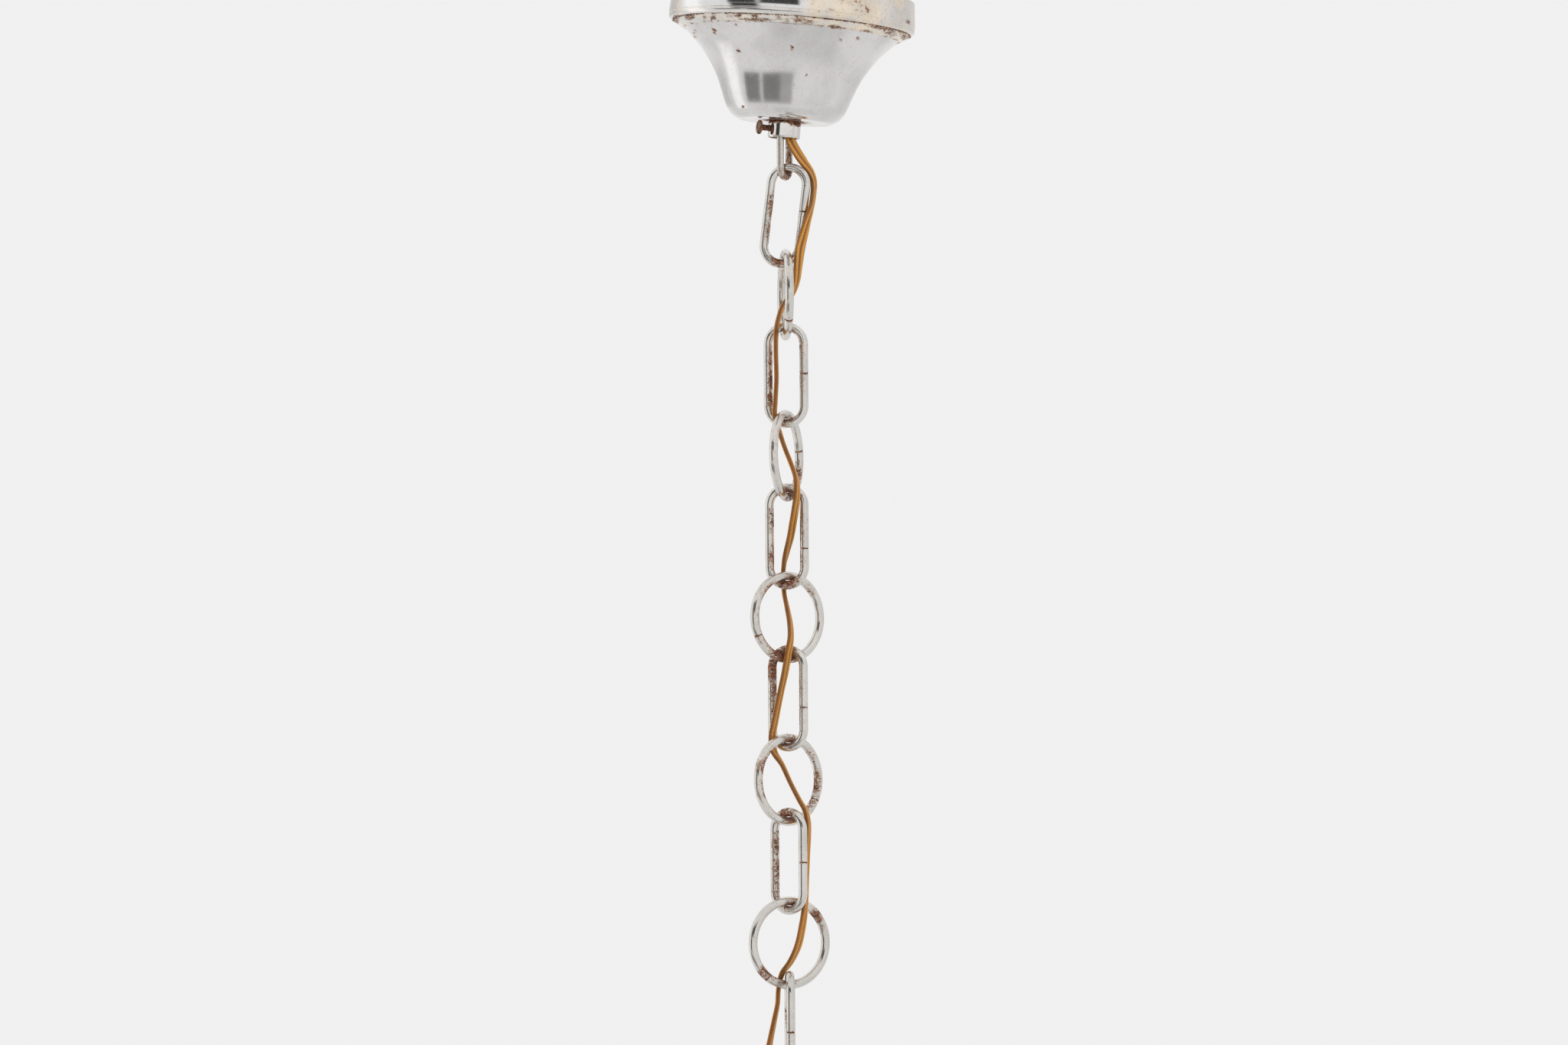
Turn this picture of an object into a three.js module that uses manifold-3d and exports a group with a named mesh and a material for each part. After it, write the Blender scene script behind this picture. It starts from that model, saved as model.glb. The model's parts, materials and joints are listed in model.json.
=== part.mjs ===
// Chain pendant lamp: a chrome ceiling canopy on a wire stirrup, a chain of long links and round
// rings, a flat twin flex laced down the chain, and a covered lampholder with its bulb.
// Millimetres, +Z up. The origin is on the ceiling face, on the line that the chain hangs on.
import * as THREE from 'three';
import Module from 'manifold-3d';
import { mergeVertices } from 'three/addons/utils/BufferGeometryUtils.js';

const wasm = await Module();
wasm.setup();

// Clearances
const touchGap = 0.3;
const rubGap = 0.3;
const stirrupGap = 0.6;
const seamGap = 0.5;

// Canopy, as its outer outline above the underside: radius, height
const canopyRadius = 60;
const canopyHeight = 60.5;
const canopyWall = 0.9;
const canopyFloorRadius = 23;
const bandHeight = 14;
const beadRadius = 1.6;
const neckRadius = 55.6;
const canopyLeanRight = 4.45;
const canopyLeanFront = 4;
const ceilingGap = 0.5;

// Ceiling bracket and its hook
const barLength = 2 * (canopyRadius - 10);
const barWidth = 20;
const barThickness = 2.5;
const slotLength = 12;
const slotWidth = 4.6;
const slotPitch = barLength - 24;
const bossDiameter = 14;
const bossHeight = 10;
const shankDiameter = 5;
const shankEngagement = 8;
const lockNutWidth = 10;
const lockNutHeight = 4;
const hookWire = 4.5;
const hookRadius = 7;
const hookDrop = 37;

// Terminal block
const blockWidth = 18;
const blockDepth = 14;
const blockHeight = 13;
const blockOffset = 25;
const poleSpacing = 8;
const sleeveDiameter = 5;
const sleeveBore = 3;
const sleeveLength = 13;
const terminalScrewDiameter = 2.6;
const blockScrewDiameter = 2.9;
const blockScrewHead = 5;

// Stirrup
const stirrupWire = 3.4;
const stirrupSpacing = 9.4;
const stirrupDrop = 27;
const stirrupTurn = 63.5;

// Collar under the canopy
const collarDiameter = 15.6;
const collarBore = 13.3;
const collarHeight = 7.2;
const spigotWall = 0.6;
const lockRingDiameter = 20;
const lockRingHeight = 1.2;
const screwDiameter = 3;
const screwHeadDiameter = 6.8;
const screwHeadHeight = 1.5;
const screwReach = 13.6;
const screwTurn = 200;
const screwTip = 4.75;

// Chain
const chainWire = 4.2;
const longLinkLength = 51;
const longLinkWidth = 21.4;
const ringDiameter = 44;

// Flat twin flex
const flexWidth = 4.8;
const flexThickness = 2.3;

// Lamp end
const eyeDiameter = 26;
const eyeWire = 5;
const eyeBossDiameter = 13.8;
const eyeBossDrop = 21;
const nippleDiameter = 9.8;
const nippleBore = 7.4;
const nippleLength = 23;
const nippleEngagement = 9;
const coverRadius = 23;
const coverHeight = 30;
const coverWall = 1;
const coverCorner = 5;
const flexEntryOffset = 12.5;
const entryBore = 5.8;
const entryFlange = 10;
const thinNutWidth = 14;
const thinNutHeight = 3;
const capRadius = 19;
const capWall = 2;
const capLength = 21.4;
const bodyRadius = 19.3;
const bodyLength = 34;
const bodyWall = 4.4;
const neckWall = 1.8;
const coreHeight = 13.6;
const shellRadius = 13.7;
const shellWall = 0.4;
const shellLength = 26;
const shadeRingRadius = 24;
const shadeRingHeight = 6;
const bulbRadius = 30;
const bulbLength = 106;
const bulbCapLength = 25;
const glassWall = 1;

// Facet counts
const wireSides = 8;
const bendSteps = 7;
const ringSteps = 22;
const smallSides = 12;
const roundSides = 24;
const canopySides = 32;

const lamp = new THREE.Group();
const degrees = THREE.MathUtils.degToRad;

function finish(color, roughness, metalness) {
  return new THREE.MeshStandardMaterial({ color, roughness, metalness });
}

const chrome = finish(0xc9c6be, 0.25, 1);
const satinChrome = finish(0xc4c4c2, 0.45, 1);
const rustySteel = finish(0x7a5240, 0.7, 0.6);
const zincSteel = finish(0x9a9c9e, 0.45, 0.9);
const brass = finish(0xb9954a, 0.4, 1);
const amberFlex = finish(0xb8792e, 0.35, 0);
const porcelain = finish(0xe9e6dd, 0.3, 0);
const bakelite = finish(0x1d1815, 0.4, 0);
const clearGlass = finish(0xe8eef0, 0.05, 0);

function add(name, geometry, material) {
  const mesh = new THREE.Mesh(geometry, material);
  mesh.name = name;
  lamp.add(mesh);
  return mesh;
}

// Solid bodies from meshes, for the few pieces that are cut or joined
function toSolid(geometry) {
  const plain = geometry.clone();
  for (const name of ['normal', 'uv']) plain.deleteAttribute(name);
  const merged = mergeVertices(plain, 1e-4);
  return new wasm.Manifold(new wasm.Mesh({
    numProp: 3,
    vertProperties: new Float32Array(merged.attributes.position.array),
    triVerts: new Uint32Array(merged.index.array),
  }));
}

function fromSolid(solid) {
  const mesh = solid.getMesh();
  const geometry = new THREE.BufferGeometry();
  geometry.setAttribute('position', new THREE.BufferAttribute(mesh.vertProperties, 3));
  geometry.setIndex(new THREE.BufferAttribute(mesh.triVerts, 1));
  return geometry;
}

function cut(geometry, tools) {
  let solid = toSolid(geometry);
  for (const tool of tools) solid = solid.subtract(toSolid(tool));
  return fromSolid(solid);
}

function join(parts) {
  return fromSolid(parts.map(toSolid).reduce((sum, part) => sum.add(part)));
}

// Turned pieces: an outline of [radius, height] points, revolved about Z
function turned(outline, sides = roundSides) {
  const points = [...outline, outline[0]].map(([r, z]) => new THREE.Vector2(r, z));
  if (THREE.ShapeUtils.area(points) < 0) points.reverse();
  return new THREE.LatheGeometry(points, sides).rotateX(Math.PI / 2);
}

function rod(radius, bottom, top, sides = roundSides) {
  return turned([[0, bottom], [radius, bottom], [radius, top], [0, top]], sides);
}

function tube(outer, inner, bottom, top, sides = roundSides) {
  return turned([[inner, bottom], [outer, bottom], [outer, top], [inner, top]], sides);
}

function hexNut(width, bore, bottom, top) {
  const block = new THREE.CylinderGeometry(width / Math.sqrt(3), width / Math.sqrt(3), top - bottom, 6);
  block.rotateX(Math.PI / 2).translate(0, 0, (top + bottom) / 2);
  return cut(block, [rod(bore / 2, bottom - 1, top + 1)]);
}

function arc(radius, from, to, steps, centreX = 0, centreZ = 0) {
  return Array.from({ length: steps + 1 }, (_, i) => {
    const angle = degrees(from + (to - from) * i / steps);
    return [centreX + radius * Math.cos(angle), centreZ + radius * Math.sin(angle)];
  });
}

// A route through given stations, with the direction that the section's X takes at each
class Route extends THREE.Curve {
  constructor(points, across, directions) {
    super();
    this.points = points;
    this.across = across;
    this.directions = directions;
  }

  getSpacedPoints() {
    return this.points;
  }

  computeFrenetFrames() {
    const last = this.points.length - 1;
    const frames = { tangents: [], normals: [], binormals: [] };
    this.points.forEach((_, i) => {
      const from = this.points[Math.max(i - 1, 0)];
      const to = this.points[Math.min(i + 1, last)];
      const tangent = this.directions[i] ?? to.clone().sub(from).normalize();
      const normal = this.across[i].clone();
      normal.addScaledVector(tangent, -normal.dot(tangent)).normalize();
      frames.tangents.push(tangent);
      frames.normals.push(normal);
      frames.binormals.push(tangent.clone().cross(normal));
    });
    return frames;
  }
}

function sweep(section, points, across, directions = []) {
  return new THREE.ExtrudeGeometry(section, {
    steps: points.length - 1,
    bevelEnabled: false,
    extrudePath: new Route(points, across, directions),
  });
}

function roundSection(diameter, sides = wireSides) {
  const half = Math.PI / sides;
  return new THREE.Shape(Array.from({ length: sides }, (_, i) => {
    const angle = half + i * 2 * half;
    return new THREE.Vector2(diameter / 2 * Math.cos(angle), diameter / 2 * Math.sin(angle));
  }));
}

// Wire bent in the XZ plane: its stations are [x, z]
function bentWire(diameter, stations) {
  const points = stations.map(([x, z]) => new THREE.Vector3(x, 0, z));
  const across = points.map(() => new THREE.Vector3(0, 1, 0));
  return sweep(roundSection(diameter), points, across);
}

// A link's wire runs from one side of its seam round to the other. The seam is on a leg, seamHeight
// above the link's middle, on the side that seamSide gives: 1 for +X, -1 for -X.
function linkStations(halfStraight, bend, seamSide, seamHeight) {
  const top = arc(bend, 0, 180, bendSteps, 0, halfStraight);
  const bottom = arc(bend, 180, 360, bendSteps, 0, -halfStraight);
  const stations = [[bend, seamHeight + seamGap / 2], ...top, ...bottom, [bend, seamHeight - seamGap / 2]];
  return stations.map(([x, z]) => [seamSide * x, z]);
}

function ringStations(radius, seamAngle) {
  const opening = THREE.MathUtils.radToDeg(seamGap / 2 / radius);
  return arc(radius, seamAngle + opening, seamAngle + 360 - opening, ringSteps);
}

// Where a link's bend crosses the line that the chain hangs on, when the link leans in its plane
function bendReach(link) {
  const offset = link.halfStraight * Math.sin(degrees(link.lean));
  return {
    height: link.halfStraight * Math.cos(degrees(link.lean)) + Math.sqrt(link.bend ** 2 - offset ** 2),
    slant: Math.asin(offset / link.bend),
  };
}

// The canopy hangs a little crooked, so that its rim's high side all but touches the ceiling
const leanSlope = new THREE.Vector2(Math.tan(degrees(canopyLeanRight)), -Math.tan(degrees(canopyLeanFront)));
const canopyUp = new THREE.Vector3(leanSlope.x, leanSlope.y, 1).normalize();
const canopyLean = Math.acos(canopyUp.z);
const canopyFloor = -ceilingGap - canopyHeight * Math.cos(canopyLean) - canopyRadius * Math.sin(canopyLean);

// Ceiling bracket: a flat bar with two screw slots and a tapped boss for the hook
const bossBottom = -barThickness - bossHeight;
const shankTop = bossBottom + shankEngagement;

function slotTool(x) {
  const half = (slotLength - slotWidth) / 2;
  const outline = new THREE.Shape();
  outline.absarc(half, 0, slotWidth / 2, -Math.PI / 2, Math.PI / 2);
  outline.absarc(-half, 0, slotWidth / 2, Math.PI / 2, 3 * Math.PI / 2);
  const tool = new THREE.ExtrudeGeometry(outline, {
    depth: barThickness + 2, bevelEnabled: false, curveSegments: 6,
  });
  return tool.translate(x, 0, -barThickness - 1);
}

const bar = new THREE.BoxGeometry(barLength, barWidth, barThickness).translate(0, 0, -barThickness / 2);
const boss = rod(bossDiameter / 2, bossBottom, -barThickness / 2);
const blockScrewHole = rod(blockScrewDiameter / 2 + touchGap, -barThickness - 1, 1, smallSides);
add('ceiling_bracket', cut(join([bar, boss]), [
  rod(shankDiameter / 2 + touchGap, bossBottom - 1, shankTop + touchGap),
  slotTool(slotPitch / 2 + 4),
  slotTool(-slotPitch / 2),
  blockScrewHole.translate(blockOffset, 0, 0),
]), zincSteel);

const nutTop = bossBottom - touchGap;
add('hook_lock_nut', hexNut(lockNutWidth, shankDiameter + 2 * touchGap, nutTop - lockNutHeight, nutTop), zincSteel);

// Hook: a straight shank that opens into a round hook whose bottom is on the hanging line. The
// hook lies square to the stirrup.
const hookCentre = -hookDrop + hookRadius;
const hookStations = [
  [0, shankTop],
  [0, bossBottom - lockNutHeight - 2],
  [-2.2, hookCentre + 1.28 * hookRadius],
  [-5.4, hookCentre + 0.86 * hookRadius],
  ...arc(hookRadius, 160, 385, 12, 0, hookCentre),
];
const hookTurn = stirrupTurn - 90;
add('ceiling_hook', bentWire(hookWire, hookStations).rotateZ(degrees(hookTurn)), zincSteel);

// Terminal block, screwed to the bar from below
const blockTop = -barThickness - touchGap;
const blockBottom = blockTop - blockHeight;
const sleeveLevel = blockTop - blockHeight / 2;
const poles = [blockOffset - poleSpacing / 2 - 1, blockOffset + poleSpacing / 2 + 1];
const poleEnds = [-1, 1].map((side) => side * sleeveLength / 4);

function alongY(geometry, x, z) {
  return geometry.rotateX(Math.PI / 2).translate(x, 0, z);
}

const blockBody = new THREE.BoxGeometry(blockWidth, blockDepth, blockHeight);
blockBody.translate(blockOffset, 0, (blockTop + blockBottom) / 2);
const screwWell = terminalScrewDiameter / 2 + touchGap;
const blockTools = [
  rod(blockScrewDiameter / 2 + touchGap, blockBottom - 1, blockTop + 1, smallSides).translate(blockOffset, 0, 0),
];
for (const x of poles) {
  const hole = rod(sleeveDiameter / 2 + touchGap, -blockDepth, blockDepth, smallSides);
  blockTools.push(alongY(hole, x, sleeveLevel));
  for (const y of poleEnds) {
    blockTools.push(rod(screwWell, blockBottom - 1, sleeveLevel, smallSides).translate(x, y, 0));
  }
}
add('terminal_block', cut(blockBody, blockTools), porcelain);

poles.forEach((x, i) => {
  const sleeve = tube(sleeveDiameter / 2, sleeveBore / 2, -sleeveLength / 2, sleeveLength / 2, smallSides);
  add(`terminal_sleeve_${i + 1}`, alongY(sleeve, x, sleeveLevel), brass);
  poleEnds.forEach((y, j) => {
    const top = sleeveLevel - sleeveDiameter / 2 - touchGap;
    const screw = rod(terminalScrewDiameter / 2, blockBottom + 0.6, top, smallSides).translate(x, y, 0);
    add(`terminal_screw_${2 * i + j + 1}`, screw, brass);
  });
});

const blockHeadTop = blockBottom - touchGap;
add('block_screw', turned([
  [0, blockHeadTop - 2],
  [blockScrewHead / 2 - 0.6, blockHeadTop - 2],
  [blockScrewHead / 2, blockHeadTop - 1.2],
  [blockScrewHead / 2, blockHeadTop],
  [blockScrewDiameter / 2, blockHeadTop],
  [blockScrewDiameter / 2, -touchGap],
  [0, -touchGap],
], smallSides).translate(blockOffset, 0, 0), zincSteel);

// Stirrup: a narrow closed loop of wire that hangs in the hook and carries the chain
const stirrupBend = stirrupSpacing / 2;
const stirrupTop = -hookDrop + hookWire / 2 + stirrupWire / 2 + rubGap;
const stirrupBottom = canopyFloor - stirrupDrop;
const stirrupHalf = (stirrupTop - stirrupBottom) / 2 - stirrupBend;
const stirrupLoop = bentWire(stirrupWire, linkStations(stirrupHalf, stirrupBend, 1, stirrupHalf * 0.7));
stirrupLoop.translate(0, 0, (stirrupTop + stirrupBottom) / 2);
add('stirrup', stirrupLoop.rotateZ(degrees(stirrupTurn)), rustySteel);

// Canopy: it leans about the middle of its collar
const leaning = new THREE.Group();
leaning.quaternion.setFromUnitVectors(new THREE.Vector3(0, 0, 1), canopyUp);
const spigotTop = canopyWall + touchGap + lockRingHeight + 0.5;
const boreMiddle = (spigotTop - touchGap - collarHeight) / 2;
leaning.position.set(-canopyUp.x * boreMiddle, -canopyUp.y * boreMiddle, canopyFloor);
lamp.add(leaning);

const bandBottom = canopyHeight - bandHeight;
const bandInner = canopyRadius - canopyWall;
const flare = [
  [neckRadius, bandBottom], [49.8, 39.3], [44.2, 32.9], [39.4, 26.4], [35.7, 19.9], [32.8, 12.9],
];
const floorCorner = [[30.8, 7.6], [28.6, 3.6], [25.9, 1.1], [canopyFloorRadius, 0]];
const collarHole = collarBore / 2 + spigotWall + 0.2;
const beadCentre = [canopyRadius - beadRadius, bandBottom + beadRadius];
const outside = [
  [canopyRadius, canopyHeight],
  ...arc(beadRadius, 0, -120, 4, beadCentre[0], beadCentre[1]),
  ...flare,
  ...floorCorner,
  [collarHole, 0],
];

// The inside follows the outside, one wall away
function inset(outline, wall) {
  const last = outline.length - 1;
  return outline.map(([r, z], i) => {
    const before = outline[Math.max(i - 1, 0)];
    const after = outline[Math.min(i + 1, last)];
    const along = new THREE.Vector2(after[0] - before[0], after[1] - before[1]).normalize();
    return [r + wall * along.y, z - wall * along.x];
  });
}

const insideFlare = inset([[neckRadius + 2, bandBottom + 1], ...flare, ...floorCorner], canopyWall);
const inside = [
  [bandInner, canopyHeight],
  [bandInner, bandBottom + 2 * beadRadius],
  ...insideFlare.slice(1, -1),
  [canopyFloorRadius, canopyWall],
  [collarHole, canopyWall],
];

function addLeaning(name, geometry, material) {
  leaning.add(add(name, geometry, material));
}

addLeaning('canopy', turned([...outside, ...inside.reverse()], canopySides), satinChrome);

// Collar: its spigot goes up through the canopy's floor, and a lock ring holds it there
const spigotRadius = collarBore / 2 + spigotWall;
const screwLevel = -touchGap - collarHeight / 2;
const collarChamfer = 0.5;
const collarRing = turned([
  [collarBore / 2, -touchGap - collarHeight],
  [collarDiameter / 2 - collarChamfer, -touchGap - collarHeight],
  [collarDiameter / 2, -touchGap - collarHeight + collarChamfer],
  [collarDiameter / 2, -touchGap],
  [spigotRadius, -touchGap],
  [spigotRadius, spigotTop],
  [collarBore / 2, spigotTop],
], canopySides);

function towardScrew(geometry) {
  return geometry.rotateY(Math.PI / 2).rotateZ(degrees(screwTurn)).translate(0, 0, screwLevel);
}

const screwHole = towardScrew(rod(screwDiameter / 2 + touchGap, 0, collarDiameter, smallSides));
addLeaning('canopy_collar', cut(collarRing, [screwHole]), chrome);
addLeaning('collar_lock_ring', tube(
  lockRingDiameter / 2, spigotRadius + 0.2, canopyWall + touchGap, canopyWall + touchGap + lockRingHeight,
), zincSteel);
addLeaning('collar_screw', towardScrew(turned([
  [0, screwTip],
  [screwDiameter / 2, screwTip],
  [screwDiameter / 2, screwReach - screwHeadHeight],
  [screwHeadDiameter / 2 - 0.3, screwReach - screwHeadHeight],
  [screwHeadDiameter / 2, screwReach - screwHeadHeight + 0.3],
  [screwHeadDiameter / 2, screwReach - 0.3],
  [screwHeadDiameter / 2 - 0.3, screwReach],
  [0, screwReach],
], 16)), rustySteel);

// Chain: each link hangs on the last, its plane turned about the hanging line, and the first one leans.
const longLink = {
  bend: (longLinkWidth - chainWire) / 2,
  halfStraight: (longLinkLength - longLinkWidth) / 2,
};
const roundLink = { bend: (ringDiameter - chainWire) / 2, halfStraight: 0 };
const chain = [
  { name: 'long_link_1', ...longLink, turn: -10, lean: 7, seam: [1, 2.5], flexCut: -4.5 },
  { name: 'round_link_1', ...roundLink, turn: -84.5, lean: 0, seam: [-41] },
  { name: 'long_link_2', ...longLink, turn: -5, lean: 0, seam: [1, 0.5] },
  { name: 'round_link_2', ...roundLink, turn: 72, lean: 0, seam: [10] },
  { name: 'long_link_3', ...longLink, turn: -15, lean: 0, seam: [1, -6] },
  { name: 'round_link_3', ...roundLink, turn: 38.6, lean: 0, seam: [206] },
  { name: 'long_link_4', ...longLink, turn: -30, lean: 0, seam: [1, -4.5] },
  { name: 'round_link_4', ...roundLink, turn: 44, lean: 0, seam: [-30] },
  { name: 'long_link_5', ...longLink, turn: -39, lean: 0, seam: [1, -0.5] },
  { name: 'round_link_5', ...roundLink, turn: 30, lean: 0, seam: [232] },
  { name: 'long_link_6', ...longLink, turn: -87, lean: 0, seam: [1, -3] },
];

let carrier = { level: stirrupBottom, wire: stirrupWire, slant: 0, gap: stirrupGap };
const contacts = [];
for (const link of chain) {
  const { height, slant } = bendReach(link);
  const contact = (carrier.wire + chainWire) / 2 + carrier.gap;
  const top = carrier.level + contact / Math.cos(carrier.slant) / Math.cos(slant);
  link.centre = top - height;
  contacts.push(carrier.level);
  carrier = { level: link.centre - height, wire: chainWire, slant, gap: rubGap };
  const isRound = link.halfStraight === 0;
  const stations = isRound
    ? ringStations(link.bend, link.seam[0])
    : linkStations(link.halfStraight, link.bend, ...link.seam);
  const mesh = add(link.name, bentWire(chainWire, stations), chrome);
  mesh.rotation.set(0, degrees(link.lean), degrees(link.turn), 'ZYX');
  mesh.position.z = link.centre;
}

// Lamp eye: a ring with a tapped boss under it
const eyeBend = (eyeDiameter - eyeWire) / 2;
const eyeCentre = carrier.level + (chainWire + eyeWire) / 2 + rubGap - eyeBend;
const eyeBottom = eyeCentre - eyeBossDrop;
contacts.push(carrier.level);
const eyeRing = new THREE.TorusGeometry(eyeBend, eyeWire / 2, wireSides, ringSteps).rotateX(Math.PI / 2);
const eyeBoss = rod(eyeBossDiameter / 2, eyeBottom, eyeCentre - eyeBend - 0.5);
const nippleHole = rod(nippleDiameter / 2 + touchGap, eyeBottom - 1, eyeBottom + nippleEngagement);
add('lamp_eye', cut(join([eyeRing.translate(0, 0, eyeCentre), eyeBoss]), [nippleHole]), chrome);

// Cover and everything under it hang on a tapped tube
const coverTop = eyeBottom - touchGap;
const nippleTop = eyeBottom + nippleEngagement - touchGap;
const boltHole = nippleDiameter / 2 + touchGap;
add('eye_nipple', tube(nippleDiameter / 2, nippleBore / 2, nippleTop - nippleLength, nippleTop), zincSteel);

const entryHole = entryFlange / 2 - 1.1;
const coverBottom = coverTop - coverHeight;
const cover = turned([
  [boltHole, coverTop],
  ...arc(coverCorner, 90, 0, 4, coverRadius - coverCorner, coverTop - coverCorner),
  [coverRadius, coverBottom],
  [coverRadius - coverWall, coverBottom],
  ...arc(coverCorner - coverWall, 0, 90, 4, coverRadius - coverCorner, coverTop - coverCorner),
  [boltHole, coverTop - coverWall],
]);
const entryTool = rod(entryHole, coverTop - capWall - 9, coverTop + 1, 16).translate(-flexEntryOffset, 0, 0);
add('socket_cover', cut(cover, [entryTool]), chrome);
add('entry_bush', turned([
  [entryBore / 2, coverTop - coverWall - 2],
  [entryHole - touchGap, coverTop - coverWall - 2],
  [entryHole - touchGap, coverTop + touchGap],
  [entryFlange / 2, coverTop + touchGap],
  [entryFlange / 2 - 0.6, coverTop + 2],
  [entryBore / 2, coverTop + 2],
], 16).translate(-flexEntryOffset, 0, 0), bakelite);

const coverNutTop = coverTop - coverWall - touchGap;
const coverNutBottom = coverNutTop - thinNutHeight;
add('cover_nut', hexNut(thinNutWidth, 2 * boltHole, coverNutBottom, coverNutTop), zincSteel);

const capTop = coverNutBottom - touchGap;
const capBottom = capTop - capLength;
const capCorner = 4;
const holderCap = turned([
  [boltHole, capTop],
  ...arc(capCorner, 90, 0, 3, capRadius - capCorner, capTop - capCorner),
  [capRadius, capBottom],
  [capRadius - capWall, capBottom],
  ...arc(capCorner - capWall, 0, 90, 3, capRadius - capCorner, capTop - capCorner),
  [boltHole, capTop - capWall],
]);
add('lampholder_cap', cut(holderCap, [entryTool.clone()]), bakelite);

const capNutTop = capTop - capWall - touchGap;
add('cap_nut', hexNut(thinNutWidth, 2 * boltHole, capNutTop - thinNutHeight, capNutTop), zincSteel);

// Lampholder body: its neck goes up inside the cap, and the core sits on a step in it
const neckOuter = capRadius - capWall - touchGap;
const shoulder = capBottom - touchGap;
const neckTop = shoulder + 8;
const coreRadius = neckOuter - neckWall - touchGap;
const coreBottom = shoulder - 5;
const bodyBottom = shoulder - bodyLength;
const bodyInner = bodyRadius - bodyWall;
const stepRadius = shellRadius + touchGap;
add('lampholder_body', turned([
  [coreRadius + touchGap, neckTop],
  [neckOuter, neckTop],
  [neckOuter, shoulder],
  [bodyRadius, shoulder],
  [bodyRadius, bodyBottom + 1.2],
  [bodyRadius - 1.2, bodyBottom],
  [stepRadius, bodyBottom],
  [stepRadius, coreBottom - touchGap],
  [bodyInner, coreBottom - touchGap],
  [coreRadius + touchGap, coreBottom + 2],
]), bakelite);

const coreTop = coreBottom + coreHeight;
add('lampholder_core', rod(bodyInner - touchGap, coreBottom, coreTop), porcelain);

const contactTop = coreBottom - touchGap;
const contactRadius = 4;
const contactThickness = 1.2;
add('centre_contact', rod(contactRadius, contactTop - contactThickness, contactTop, 16), brass);

const shellTop = coreBottom - touchGap;
add('screw_shell', turned([
  [contactRadius + 3, shellTop],
  [shellRadius, shellTop],
  [shellRadius, shellTop - shellLength],
  [shellRadius - shellWall, shellTop - shellLength],
  [shellRadius - shellWall, shellTop - shellWall],
  [contactRadius + 3, shellTop - shellWall],
]), brass);

const ringLevel = shoulder - 9;
add('shade_ring', turned([
  [bodyRadius + touchGap, ringLevel - shadeRingHeight],
  [shadeRingRadius - 1, ringLevel - shadeRingHeight],
  [shadeRingRadius, ringLevel - shadeRingHeight + 1],
  [shadeRingRadius, ringLevel - 2],
  [shadeRingRadius - 2, ringLevel],
  [bodyRadius + touchGap, ringLevel],
]), bakelite);

// Bulb
const capOuter = shellRadius - shellWall - touchGap;
const buttonTop = contactTop - contactThickness - touchGap;
const buttonRadius = 4.6;
const bulbShoulder = buttonTop - 2.4;
const bulbCapBottom = buttonTop - bulbCapLength;
const bulbCapWall = 0.6;
const glassNeck = capOuter - bulbCapWall - touchGap;
add('bulb_cap', turned([
  [0, buttonTop],
  [buttonRadius, buttonTop],
  [buttonRadius + 2.4, bulbShoulder],
  [capOuter - 1, bulbShoulder - 1.6],
  [capOuter, bulbShoulder - 3.4],
  [capOuter, bulbCapBottom],
  [capOuter - bulbCapWall, bulbCapBottom],
  [capOuter - bulbCapWall, bulbShoulder - 3.6],
  [buttonRadius, bulbShoulder - 1.2],
  [0, bulbShoulder - 1.2],
]), brass);

const glassTop = bulbCapBottom + 8;
const globeCentre = buttonTop - bulbLength + bulbRadius;
const glassOutline = [
  [glassNeck, glassTop],
  [glassNeck, bulbCapBottom - 1],
  [14.4, globeCentre + 40],
  [19.6, globeCentre + 29.5],
  ...arc(bulbRadius, 34, -76, 7, 0, globeCentre),
];
const glassInside = inset([...glassOutline, [0, globeCentre - bulbRadius]], glassWall);
add('bulb_glass', turned([
  ...glassOutline,
  [0, globeCentre - bulbRadius],
  [0, globeCentre - bulbRadius + glassWall],
  ...glassInside.slice(1, -1).reverse(),
  [glassNeck - glassWall, glassTop],
]), clearGlass);

const stemFlare = glassNeck - glassWall - touchGap;
add('bulb_stem', turned([
  [0, globeCentre + 6],
  [2, globeCentre + 7],
  [2.4, globeCentre + 26],
  [3.4, globeCentre + 38],
  [stemFlare, glassTop - 1],
  [stemFlare, glassTop],
  [0, glassTop],
], 16), clearGlass);

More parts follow.
